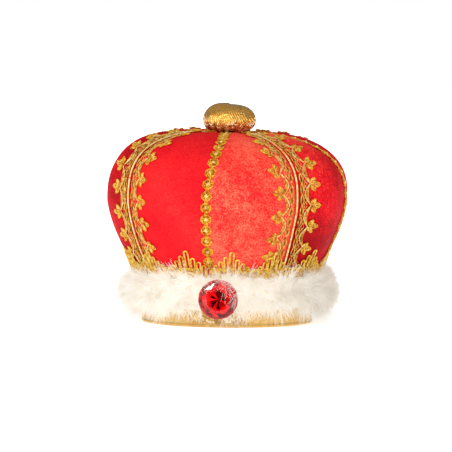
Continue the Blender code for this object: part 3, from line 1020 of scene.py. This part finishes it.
def make_loop_fans():
    radius = float(seam_radius(LOOP_ROW_SHARE)) + 1.5 * MM
    width = math.tau * radius / FANS
    turned = [(points[:, [1, 0, 2]], closed) for points, closed in loop_fan_lines(width)]
    fans = repeated("fans", turned, width, FANS, 0.82 * MM, LOOP_GOLD, 6, 0.0, 9)
    rows = []
    for height in LOOP_ROWS:
        x = np.linspace(0, math.tau * radius, 110 * FANS, endpoint=False)
        wave = 0.9 * MM * np.sin(x / (0.75 * MM) + height)
        rows.append((path(height * MM + 0.5 * wave, x, 0.75 * MM + 0.3 * wave), False))
    ties = repeated("rows", rows, 1.0, 1, 0.62 * MM, LOOP_GOLD, 5)
    flat_mesh = joined("loop_fans", [fans, ties])
    flat = points_of(flat_mesh)
    azimuth = flat[:, 1] / radius
    share = LOOP_ROW_SHARE - flat[:, 0] / SEAM_LENGTH
    lift = 2.1 * MM - 0.6 * MM * np.clip(flat[:, 0] / (20 * MM), 0, 1) + flat[:, 2]
    set_points(flat_mesh, on_dome(azimuth, share, lift))
    face_outwards(flat_mesh, 1e-7)
    return sew_in(place("loop_fan_trim", flat_mesh), "gold_braid", "loop_braid")


print(f"{FANS} fans, {len(make_loop_fans().data.polygons)} faces")

# %% [markdown]
# ## Gold lame
#
# Lame here is a thin knit with foil on it. It shows fine parallel ribs, it creases sharply, and
# the creases flash white beside brown. The material is metallic, with a rib bump, a crinkle bump,
# a painted white highlight and brown painted shade where the mesh marks creases, and darker specks
# where the foil has cracked.

# %% Lame material


def lame(name, body, bright, rib_turn, rib_pitch, roughness, crinkle):
    """crinkle is how deep the creases are where the mesh's crush attribute is 1. There the colour also gets a painted
    highlight and painted shade.
    """
    material, tree, shader = new_shader(name, body, roughness, 0.8)
    shader.inputs["Specular IOR Level"].default_value = 0.15
    at = object_space(tree)
    crush = stored(tree, "crush")
    creases = noise_of(tree, at, 170.0, 5.0, 1.2)
    speck = noise_of(tree, at, 1000.0, 2.0)
    # Brown painted shade and the bright painted highlight go where the mesh's crush marks creases.
    brown = mixed_plain(body, tint(120, 68, 8), 0.75)
    painted_crease_light = ramp(tree, creases, (0.38, brown), (0.50, body), (0.60, bright))
    colour = mixed(tree, crush, body, painted_crease_light)
    worn = ramp(tree, speck, (0.30, tint(170, 120, 60)), (0.45, (1, 1, 1, 1)))
    tree.links.new(mixed(tree, 0.5, colour, worn, "MULTIPLY"), shader.inputs["Base Color"])
    depth = maths(tree, "MULTIPLY", creases, crush)
    turned = node(tree, "ShaderNodeMapping", Rotation=rib_turn)
    tree.links.new(at, turned.inputs["Vector"])
    ribs = node(tree, "ShaderNodeTexWave", bands_direction="X", Scale=math.tau / 20 / rib_pitch, Distortion=0.6)
    tree.links.new(turned.outputs[0], ribs.inputs["Vector"])
    under = bump(tree, shader, depth, 0.0022 * crinkle, 0.9)
    bump(tree, shader, ribs.outputs["Fac"], 0.00035, 1.0, under)
    return material


def mark_crush(data, values):
    crush = data.attributes.new("crush", "FLOAT", "POINT")
    crush.data.foreach_set("value", np.asarray(values, dtype=np.float32))


# The bright colours of the lame are painted highlights in its creases.
BAND_LAME = lame("band_lame", tint(230, 190, 110), tint(255, 246, 220), (0, 0, 0.2), 1.1 * MM, 0.42, 1.0)
BALL_LAME = lame("ball_lame", tint(246, 184, 84), tint(255, 252, 220), (0, 0.5, 0.0), 2.0 * MM, 0.11, 1.4)

# %% [markdown]
# ## Headband
#
# The cover is one strip of lame round a stiffener, folded up inside at the hem. It is a little
# loose, so it has shallow vertical buckles, finer crinkles, and a pleat under the stone. The hem
# rolls over and is pressed in by its row of stitches.

# %% Band cover
HEM_HEIGHT = 4.2 * MM
TURN_UP = 16 * MM  # the strip is folded up this far inside
COVER_THICKNESS = 0.5 * MM


def band_profile():
    """(radius, height) down the outside, round the hem and up inside."""
    outside = [(BAND_RADIUS - 0.5 * MM, z) for z in np.linspace(BAND_HEIGHT, HEM_HEIGHT + 0.8 * MM, 22)]
    stitched = [(BAND_RADIUS - 0.9 * MM, HEM_HEIGHT)]
    turn = np.linspace(0.35 * math.pi, -0.5 * math.pi, 9)
    roll = [(BAND_RADIUS - 1.6 * MM + 1.4 * MM * math.cos(t), 1.7 * MM + 1.7 * MM * math.sin(t)) for t in turn]
    inside = [(BAND_RADIUS - 4.2 * MM, 0.25 * MM)]
    inside += [(BAND_RADIUS - 4.3 * MM, z) for z in np.linspace(1.5 * MM, TURN_UP, 8)]
    return np.array(outside + stitched + roll + inside)


def make_band():
    profile = band_profile()
    around = full_turn(420)
    gem_azimuth = math.atan2(GEM_CENTRE[0], -GEM_CENTRE[1])
    points = np.empty((len(profile), len(around), 3))
    crush = np.empty(points.shape[:2])
    for row, (r, z) in enumerate(profile):
        outer = row < 23
        for column, a in enumerate(around):
            spot = Vector((r * math.sin(a), -r * math.cos(a), z))
            away = (a - gem_azimuth + math.pi) % math.tau - math.pi
            near = math.exp(-((away / 0.34) ** 2))
            above_hem = outer and z > HEM_HEIGHT
            # crush sets deep crinkles and their painted highlight and painted shade, most under the stone.
            crush[row, column] = (near if above_hem else 0.25 * near) + 0.12 * max(0, noise.noise(spot * 30))
            fine = noise.fractal(spot * 230, 1.0, 2.0, 3)
            broad = noise.noise(Vector((spot.x * 30, spot.y * 30, spot.z * 9)))
            move = (0.7 * MM * broad + 0.20 * near * MM * fine) * min(1.0, z / (3 * MM)) if outer else 0.0
            across = (a - gem_azimuth - 0.045 - 0.9 * (14 * MM - z)) * BAND_RADIUS
            move += 0.9 * MM * math.exp(-((across / (1.2 * MM)) ** 2)) if outer and z < 16 * MM else 0.0
            rr = min(r + move, BAND_RADIUS + 1.5 * MM)
            points[row, column] = (rr * math.sin(a), -rr * math.cos(a), z)
    band = place("gold_band", grid_mesh("gold_band", points, wrap=True))
    mark_crush(band.data, crush.ravel())
    face_outwards(band.data)
    area = sum(face.area for face in band.data.polygons)
    band.data.materials.append(BAND_LAME)
    thicken(band, COVER_THICKNESS)
    sew_in(band, "gold_lame", "band_cover")
    return area


print(f"band cover of {10000 * make_band():.0f} square centimetres")

# %% [markdown]
# ## The stone
#
# A flat-backed acrylic stone is cut like a brilliant in front, and its back is a shallow faceted
# cone with foil on it. Light goes in, bounces off the foil and comes out through other facets, so
# both the front and the foil need real facets. The front is the convex hull of a few rings of
# points, and the foil a grid through a few rings of points.

# %% Stone and foil
GEM_SIDES = 8
# Rings of the foil's cone: share of the stone's radius, depth and unevenness in millimetres.
PAVILION = ((0.03, -1.9, 0.0), (0.42, -1.6, 0.35), (0.66, -0.8, 0.7), (0.97, 1.3, 0.0))
# Small lamps that single facets mirror into the lens: how far that facet leans right and up, and watts.
STONE_GLINTS = (("upper facet", -0.20, 0.36, 0.6), ("right facet", 0.34, 0.06, 0.35))
STONE_TILT = math.radians(5)  # the feathers under it make it look up a little


def facets(name, rings, centre, facing):
    """A convex hull of rings (count, radius, height, shift), with +Z turned to face outwards."""
    mesh = bmesh.new()
    for count, radius, height, shift in rings:
        for index in range(count):
            turn = math.tau * (index + shift) / count
            local = Vector((radius * math.cos(turn), radius * math.sin(turn), height))
            right = Vector((math.cos(facing), math.sin(facing), 0))
            out = Vector((math.sin(facing), -math.cos(facing), 0))
            mesh.verts.new(Vector(centre) + right * local.x + Vector((0, 0, 1)) * local.y + out * local.z)
    bmesh.ops.convex_hull(mesh, input=mesh.verts)
    bmesh.ops.recalc_face_normals(mesh, faces=mesh.faces)
    data = bpy.data.meshes.new(name)
    mesh.to_mesh(data)
    mesh.free()
    return data


def stone_material():
    material, tree, shader = new_shader("red_acrylic", tint(242, 90, 95), 0.02)
    shader.inputs["Transmission Weight"].default_value = 1.0
    shader.inputs["IOR"].default_value = 1.49
    at = object_space(tree)
    cloud = noise_of(tree, at, 60.0, 1.0)
    tree.links.new(ramp(tree, cloud, (0.40, tint(222, 20, 40)), (0.62, tint(246, 96, 96))), shader.inputs["Base Color"])
    return material


def foil_material():
    material, tree, shader = new_shader("mirror_foil", tint(250, 232, 228), 0.05, 1.0)
    at = object_space(tree)
    bump(tree, shader, noise_of(tree, at, 150.0, 1.0), 0.00005, 0.2)
    return material


def make_stone():
    facing = math.atan2(GEM_CENTRE[0], -GEM_CENTRE[1]) + math.radians(0.2)
    out = np.array([math.sin(facing), -math.cos(facing), 0])
    back = out * (float(np.hypot(*GEM_CENTRE[:2])) - 2.4 * MM) + (0, 0, GEM_CENTRE[2])
    r = GEM_RADIUS
    crown = (
        (GEM_SIDES, 0.50 * r, -0.9 * MM, 0.25),
        (2 * GEM_SIDES, 0.97 * r, 1.6 * MM, 0.25),
        (2 * GEM_SIDES, r, 2.2 * MM, 0.25),
        (2 * GEM_SIDES, r, 2.9 * MM, 0.25),
        (GEM_SIDES, 0.84 * r, 5.0 * MM, 0.25),
        (GEM_SIDES, 0.60 * r, 6.6 * MM, 0.75),
    )
    gem = place("red_stone", facets("red_stone", crown, back, facing))
    gem.data.materials.append(stone_material())
    sew_in(gem, "red_stone", "gem")
    gem.data.shade_flat()
    turn = math.tau * (np.arange(2 * GEM_SIDES) + 0.5) / (2 * GEM_SIDES)
    right = np.array([math.cos(facing), math.sin(facing), 0])
    rings = []
    for number, (radius, height, uneven) in enumerate(PAVILION):
        flat = radius * r * (np.cos(turn)[:, None] * right + np.sin(turn)[:, None] * np.array([0, 0, 1.0]))
        wobble = uneven * np.sin(5.3 * turn + 2.1 * number) * np.cos(3.0 * turn - number)
        rings.append(back + flat + out * ((height + wobble) * MM)[:, None])
    foil = place("foil_back", grid_mesh("foil_back", np.array(rings), wrap=True))
    for obj in (gem, foil):
        points = points_of(obj.data)
        up = Matrix.Rotation(-STONE_TILT, 3, Vector(right))
        set_points(obj.data, np.array([up @ Vector(p - back) for p in points]) + back)
    foil.data.materials.append(foil_material())
    thicken(foil, 0.25 * MM, 0.0)
    sew_in(foil, "silver_foil", "gem_foil")
    foil.data.shade_flat()
    eye = (bpy.context.scene.camera.location - Vector(back)).normalized()
    for name, across, up, power in STONE_GLINTS:
        wanted = (Vector(out) + across * Vector(right) + Vector((0, 0, up))).normalized()
        facet = max(gem.data.polygons, key=lambda face: face.normal.dot(wanted))
        way = 2 * facet.normal.dot(eye) * facet.normal - eye
        add_lamp(name, facet.center.copy(), way.normalized(), 1.2, 0.06, power, True)
    return back, facing


GEM_BACK, GEM_FACING = make_stone()
print(f"stone faces {math.degrees(GEM_FACING):.1f} degrees to the right of the front seam")

# %% [markdown]
# ## The ball on top
#
# Two half rounds of lame are seamed together, stuffed and gathered to a neck. The filling has gone
# flat on top and sags over the neck, so the widest place is low. I turn the settled outline
# directly, with no cloth simulation, and add what the cloth shows: gathers that run up from the
# neck and fade, slack dents, and a seam that draws the cloth in and puckers it.

# %% Stuffed ball
GATHERS = 13
BALL_ROWS, BALL_COLUMNS = 90, 260
BALL_RISE, BALL_SAG = 18.0 * MM, 14.5 * MM
BALL_LEAN = 2.0 * MM
BALL_SEAM_AZIMUTH = 0.50


def ball_points():
    waist = float(KNOB_HIGH[2]) - BALL_RISE - 0.3 * MM
    turn = np.linspace(0.5 * math.pi * 0.985, -0.5 * math.pi, BALL_ROWS)[:, None]
    a = full_turn(BALL_COLUMNS)[None, :]
    full, neck = KNOB_RADIUS - 0.8 * MM, 6.5 * MM
    c, t = np.cos(turn) + 1e-9, np.sin(turn)
    r = np.where(turn > 0, full * c**0.66, neck + (full - neck) * c**0.80) + 0 * a
    z = waist + np.where(turn > 0, BALL_RISE * np.abs(t) ** 1.15, -BALL_SAG * np.abs(t)) + 0 * a
    fade = np.clip((-turn + 0.10) / 1.2, 0, 1) ** 1.3
    wander = 0.5 * np.sin(3 * a + 1.0) + 0.4 * np.sin(5 * a + 2.0) + 0.3 * fade * np.sin(7 * a)
    folds = np.abs(np.sin(0.5 * GATHERS * a + 1.4 * wander)) ** 0.7
    r = r * (1 - 0.34 * fade * (1 - folds))
    over_top = np.clip(turn / 1.2, 0, 1)
    z = z - 1.0 * MM * over_top * (0.5 + 0.5 * np.sin(2 * a + 0.8)) - 0.6 * MM * over_top * np.sin(a - 0.6)
    return r, z, a + 0 * r, fade + 0 * r


def make_ball():
    r, z, a, fade = ball_points()
    away = (a - BALL_SEAM_AZIMUTH - 0.35 * (z - z.mean()) / (15 * MM) + math.pi) % math.tau - math.pi
    from_seam = np.abs(away) * r
    lowest, highest = z.min(), z.max()
    draw = np.exp(-((from_seam / (1.0 * MM)) ** 2)) + 0.35 * np.exp(-((from_seam / (4 * MM)) ** 2))
    pucker = np.exp(-((from_seam / (4.5 * MM)) ** 2)) * np.sin(z / (0.55 * MM))

    def dent(x, y):
        return noise.fractal(Vector((3 * math.sin(x), 3 * math.cos(x), 90 * y)), 1.0, 2.0, 3)

    dents = np.vectorize(dent)(a, z)
    r = r - 1.1 * MM * draw + 0.22 * MM * pucker + 0.9 * MM * dents * np.clip(r / (15 * MM), 0, 1)
    up = (z - lowest) / (highest - lowest)
    x, y = r * np.sin(a) + BALL_LEAN * up, -r * np.cos(a)
    points = np.stack([x, y, z - 0.05 * x * up], -1)
    ball = place("stuffed_ball", grid_mesh("stuffed_ball", points, wrap=True))
    # crush sets crinkles and their painted highlight and painted shade, in the gathers and along the seam.
    mark_crush(ball.data, (0.04 + 0.9 * np.clip(3 * fade, 0, 1) + 0.5 * np.clip(draw, 0, 1)).clip(0, 1).ravel())
    close_ends(ball.data, BALL_COLUMNS)
    ball.data.materials.append(BALL_LAME)
    sew_in(ball, "gold_lame", "knob_cover")
    middle = points.reshape(-1, 3).mean(0)
    inner = (points[3:-4:3, ::5] - middle) * 0.88 + middle
    filling = place("ball_filling", grid_mesh("ball_filling", inner, wrap=True))
    filling.data.materials.append(cloth_material("fibre_filling", tint(226, 226, 222), tint(248, 248, 246), 200.0))
    close_ends(filling.data, BALL_COLUMNS)
    sew_in(filling, "fibre_filling", "knob_stuffing")
    return len(ball.data.polygons)


print(f"ball of {make_ball()} faces with {GATHERS} gathers")

# %% [markdown]
# ## Inside
#
# From below one sees the ribbed sweatband and, above it, the lining of the dome. The lining is cut
# in eight gores like the dome itself, a little fuller, and gathered to the centre of the top in
# soft folds. Its flat size is that of the eight gores side by side.

# %% Lining and sweatband
SATIN = two_tone(
    "lining_satin", tint(120, 10, 18), tint(176, 26, 34), (22.0, 2.0), (1800.0, 2.0), (0.3, 0.7), (0.0001, 0.6), 0.45, 0.2
)
RIBBON = two_tone(
    "sweatband_cotton", tint(196, 168, 126), tint(228, 206, 168), (60.0, 3.0), (1500.0, 2.0), (0.3, 0.7), (0.0001, 0.5), 0.8
)
LINING_INWARD = 8.6 * MM


def make_inside():
    share = np.linspace(0.0, 1.0, 60)[:, None]
    a = full_turn(200)[None, :]
    folds = 1.2 * MM * np.sin(16 * a + 1.3 * np.sin(3 * a)) * np.clip(1.2 - 2 * share, 0.1, 1) * (share > 0.03)
    skin = on_dome(a, share + 0 * a, -LINING_INWARD - folds)
    centre = np.zeros_like(skin[:1])
    centre[..., 2] = skin[0, :, 2].mean()
    points = np.concatenate([centre, skin, skin[-1:] + (0, 0, -4 * MM)])
    lining = place("dome_lining_cloth", grid_mesh("lining", points, wrap=True))
    face_outwards(lining.data)
    area = sum(face.area for face in lining.data.polygons)
    lining.data.materials.append(SATIN)
    thicken(lining, 0.5 * MM)
    sew_in(lining, "red_lining", "dome_lining")
    low, high = span("sweatband")
    radius = float(high[0]) - 0.1 * MM
    z = np.linspace(low[2], high[2], 30)[:, None]
    a = full_turn(480)[None, :]
    rib = 0.12 * MM * np.sin(math.tau * (z - low[2]) / (1.6 * MM))
    points = round_axis(radius - 0.3 * MM + rib, a, z)
    ribbon = place("sweatband_ribbon", grid_mesh("ribbon", points, wrap=True))
    face_outwards(ribbon.data)
    ribbon.data.materials.append(RIBBON)
    thicken(ribbon, 0.5 * MM)
    sew_in(ribbon, "cotton_ribbon", "sweatband")
    return area


print(f"lining of {make_inside():.3f} square metres")

# %% [markdown]
# ## Marabou trim
#
# Marabou is down wound on a cord: thousands of very fine barbs that stand out all round it, in
# tufts. The barbs made here are far thicker than real ones, and fewer. I scatter tufts over a thin ring with Geometry Nodes, make each tuft a spray
# of barbs, let a broad noise comb them so that neighbours agree, bend each one, and give it a
# three-sided section that thins to its tip. A lumpy body of the same down lies inside, so that no
# light shows through. The ring is made in sectors to keep each piece light.

# %% Down material


def down_material(name, warm, shade):
    material, tree, shader = new_shader(name, warm, 0.9, 0.0, 0.3, 0.5, tint(255, 250, 240))
    at = object_space(tree)
    patch = noise_of(tree, at, 45.0, 3.0)
    body = ramp(tree, patch, (0.34, mixed_plain(shade, warm, 0.35)), (0.60, warm))
    depth = ramp(tree, stored(tree, "tone"), (0.1, (0, 0, 0, 1)), (0.6, (1, 1, 1, 1)))
    tree.links.new(mixed(tree, depth, shade, body), shader.inputs["Base Color"])
    # Stands in for light scattered on from barb to barb. It falls off to either side, which suits
    # the view from the front and is too dull from the side.
    shader.inputs["Emission Color"].default_value = tint(255, 249, 237)
    apart = node(tree, "ShaderNodeSeparateXYZ")
    tree.links.new(at, apart.inputs[0])
    aside = maths(tree, "ABSOLUTE", apart.outputs["X"])
    scattered = node(tree, "ShaderNodeMapRange")
    for label, value in (("From Min", 0.055), ("From Max", 0.125), ("To Min", 0.27), ("To Max", 0.11)):
        scattered.inputs[label].default_value = value
    tree.links.new(aside, scattered.inputs["Value"])
    tree.links.new(scattered.outputs["Result"], shader.inputs["Emission Strength"])
    bump(tree, shader, noise_of(tree, at, 900.0, 3.0), 0.0004, 0.6)
    return material


DOWN = down_material("marabou_down", tint(255, 253, 249), tint(206, 198, 182))

# %% The tuft tree
FUR_SECTORS = 9
BARB_POINTS = 4
FUR_TUFTS = 40000.0  # to the square metre
FUR_BARBS = 44


def build_tuft_tree():
    tree = Tree(
        "marabou_tufts",
        Tufts=("NodeSocketFloat", 60000.0),
        Barbs=("NodeSocketInt", 18),
        Length=("NodeSocketFloat", 0.024),
        Spread=("NodeSocketFloat", 0.35),
        Curl=("NodeSocketFloat", 0.006),
        Droop=("NodeSocketFloat", 0.003),
        Thickness=("NodeSocketFloat", 0.0001),
        Material=("NodeSocketMaterial", None),
        Stone=("NodeSocketVector", (0, 0, 0)),
        Clear=("NodeSocketFloat", 0.02),
        Seed=("NodeSocketInt", 1),
    )
    scattered = tree.add(
        "GeometryNodeDistributePointsOnFaces",
        {"Mesh": tree["Geometry"], "Density": tree["Tufts"], "Seed": tree["Seed"]},
    )
    position = tree.add("GeometryNodeInputPosition").outputs[0]
    comb = tree.add("ShaderNodeTexNoise", {"Vector": position, "Scale": 60.0, "Detail": 1.0}).outputs["Color"]
    comb = tree.vector("SCALE", tree.vector("SUBTRACT", comb, (0.5, 0.5, 0.5)), 2.4)
    tilt = tree.any_vector((-0.8,) * 3, (0.8,) * 3, Seed=tree["Seed"])
    lean = tree.vector("ADD", scattered.outputs["Normal"], tree.vector("ADD", comb, tilt))
    tuft = tree.store(scattered.outputs["Points"], "tuft", tree.vector("NORMALIZE", lean), "FLOAT_VECTOR")
    tuft = tree.store(tuft, "grown", tree.any_number(0.72, 1.22, Seed=tree["Seed"]))
    barbs = tree.add("GeometryNodeDuplicateElements", {"Geometry": tuft, "Amount": tree["Barbs"]}, domain="POINT")
    own_draw = {"ID": tree.add("GeometryNodeInputIndex").outputs[0], "Seed": tree["Seed"]}
    own = tree.any_vector((-1.0,) * 3, (1.0,) * 3, **own_draw)
    spray = tree.vector("ADD", tree.recall("tuft", "FLOAT_VECTOR"), tree.vector("SCALE", own, tree["Spread"]))
    way = tree.vector("NORMALIZE", spray)
    reach = tree.maths("MULTIPLY", tree.any_number(0.62, 1.12, **own_draw), tree.recall("grown"))
    reach = tree.maths("MULTIPLY", reach, tree["Length"])
    tip = tree.vector("ADD", position, tree.vector("SCALE", way, reach))
    halfway = tree.vector("SUBTRACT", tip, tree.vector("SCALE", way, tree.maths("MULTIPLY", reach, 0.45)))
    from_stone = (tree.vector("DISTANCE", point, tree["Stone"]) for point in (tip, halfway))
    gap = tree.maths("MINIMUM", *from_stone)
    hits = tree.add("FunctionNodeCompare", {0: gap, 1: tree["Clear"]}, data_type="FLOAT", operation="LESS_THAN")
    links = {"Geometry": barbs.outputs[0], "Selection": hits.outputs[0]}
    left = tree.add("GeometryNodeDeleteGeometry", links, domain="POINT").outputs[0]
    directed = tree.store(left, "way", tree.vector("SCALE", way, reach), "FLOAT_VECTOR")
    bent = tree.store(directed, "bend", tree.vector("SCALE", own, tree["Curl"]), "FLOAT_VECTOR")
    toned = tree.store(bent, "tone", tree.any_number(0.0, 1.0, **own_draw))
    straight = tree.add("GeometryNodeCurvePrimitiveLine", {"End": (0.0, 0.0, 0.0001)})
    line = tree.add("GeometryNodeResampleCurve", {"Curve": straight.outputs[0], "Count": BARB_POINTS})
    sown = tree.add("GeometryNodeInstanceOnPoints", {"Points": toned, "Instance": line.outputs[0]})
    real = tree.add("GeometryNodeRealizeInstances", {"Geometry": sown.outputs[0]})
    factor = tree.add("GeometryNodeSplineParameter").outputs["Factor"]
    squared = tree.maths("MULTIPLY", factor, factor)
    fall = tree.add("ShaderNodeCombineXYZ", {"Z": tree.maths("MULTIPLY", tree["Droop"], -1.0)}).outputs[0]
    sag = tree.vector("ADD", tree.recall("bend", "FLOAT_VECTOR"), fall)
    straight_on = tree.vector("SCALE", tree.recall("way", "FLOAT_VECTOR"), factor)
    offset = tree.vector("ADD", straight_on, tree.vector("SCALE", sag, squared))
    grown = tree.add("GeometryNodeSetPosition", {"Geometry": real.outputs[0], "Offset": offset})
    section = tree.add("GeometryNodeCurvePrimitiveCircle", {"Resolution": 3, "Radius": tree["Thickness"]})
    taper = tree.maths("SUBTRACT", 1.0, tree.maths("MULTIPLY", factor, 0.75))
    skin = tree.add(
        "GeometryNodeCurveToMesh",
        {"Curve": grown.outputs[0], "Profile Curve": section.outputs["Curve"], "Scale": taper, "Fill Caps": True},
    )
    final = tree.add("GeometryNodeSetMaterial", {"Geometry": skin.outputs[0], "Material": tree["Material"]})
    tree.leave(final.outputs[0])
    return tree


TUFTS = build_tuft_tree()

# %% [markdown]
# The tufts grow from a narrow half tube round the band, open towards the band. The same shape,
# fatter and lumpy, makes the body of down inside.

# %% Marabou
FUR_MIDDLE = 37.5 * MM
ROOT_RADIUS = BAND_RADIUS + 6 * MM


def half_tube(start, end, columns, radius, tall, out, lumps=0.0):
    """A half tube round part of the band. tall and out are its half height and its depth."""
    a = np.linspace(start, end, columns)[None, :]
    turn = np.linspace(0.55 * math.pi, -0.55 * math.pi, 22)[:, None]
    r = radius + out * np.cos(turn) + 0 * a
    z = FUR_MIDDLE + tall * np.sin(turn) + 0 * a
    if lumps:
        bumps = np.vectorize(lambda x, y: noise.noise(Vector((x * 9, y * 2.2, 0.5))))(a + 0 * turn, turn + 0 * a)
        r = r + lumps * bumps
        z = z + lumps * bumps * np.sin(turn)
    return round_axis(r, a, z)


def make_marabou():
    body_points = half_tube(0, math.tau, 361, BAND_RADIUS, 19 * MM, 13 * MM, 1.5 * MM)[:, :-1]
    body = place("down_body", grid_mesh("down_body", body_points, wrap=True))
    face_outwards(body.data)
    body.data.materials.append(DOWN)
    thicken(body, 2 * MM)
    sew_in(body, "white_feather", "fur_trim")
    out = np.array([math.sin(GEM_FACING), -math.cos(GEM_FACING), 0])
    right = np.array([math.cos(GEM_FACING), math.sin(GEM_FACING), 0])
    clear = GEM_BACK + 8 * MM * out - 3 * MM * right - (0, 0, 4 * MM)
    faces = 0
    for sector in range(FUR_SECTORS):
        start, end = (math.tau * (sector + k) / FUR_SECTORS for k in (0, 1))
        seed_mesh = grid_mesh("roots", half_tube(start, end, 40, ROOT_RADIUS, 13 * MM, 5 * MM))
        face_outwards(seed_mesh)
        data = TUFTS.run(
            f"marabou_{sector}",
            seed_mesh,
            Tufts=FUR_TUFTS,
            Barbs=FUR_BARBS,
            Length=0.0195,
            Spread=0.30,
            Curl=0.0055,
            Droop=0.0025,
            Thickness=0.00019,
            Material=DOWN,
            Stone=tuple(clear),
            Clear=GEM_RADIUS + 1.2 * MM,
            Seed=sector + 11,
        )
        tips = points_of(data)
        tips[:, 2] = np.maximum(tips[:, 2], 0.4 * MM)  # the lowest barbs lie on the table
        set_points(data, tips)
        piece = place(f"marabou_{sector + 1}", data)
        sew_in(piece, "white_feather", "fur_trim")
        faces += len(data.polygons)
    return faces


print(f"marabou of {make_marabou()} faces in {FUR_SECTORS} sectors")

# %% [markdown]
# ## Pieces that stay as the frame made them
#
# The stiffener, the ball's tie, the trim's cord and the felt disc are inside and keep their
# shape. They still get a real surface each.

# %% Hidden pieces
HIDDEN = (
    (("band_stiffener",), cloth_material("buckram", tint(196, 186, 158), tint(222, 214, 190), 700.0)),
    (("knob_tie", "fur_core_cord"), cloth_material("cotton_cord", tint(206, 198, 178), tint(236, 230, 214), 900.0)),
    (("knob_backing",), cloth_material("red_felt", tint(120, 14, 20), tint(168, 24, 32), 600.0)),
)


def dress_hidden():
    dressed = 0
    for name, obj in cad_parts.items():
        for starts, material in HIDDEN:
            if name.startswith(starts):
                obj.data.materials.clear()
                obj.data.materials.append(material)
                dressed += 1
    return dressed


print(f"{dress_hidden()} hidden pieces dressed")
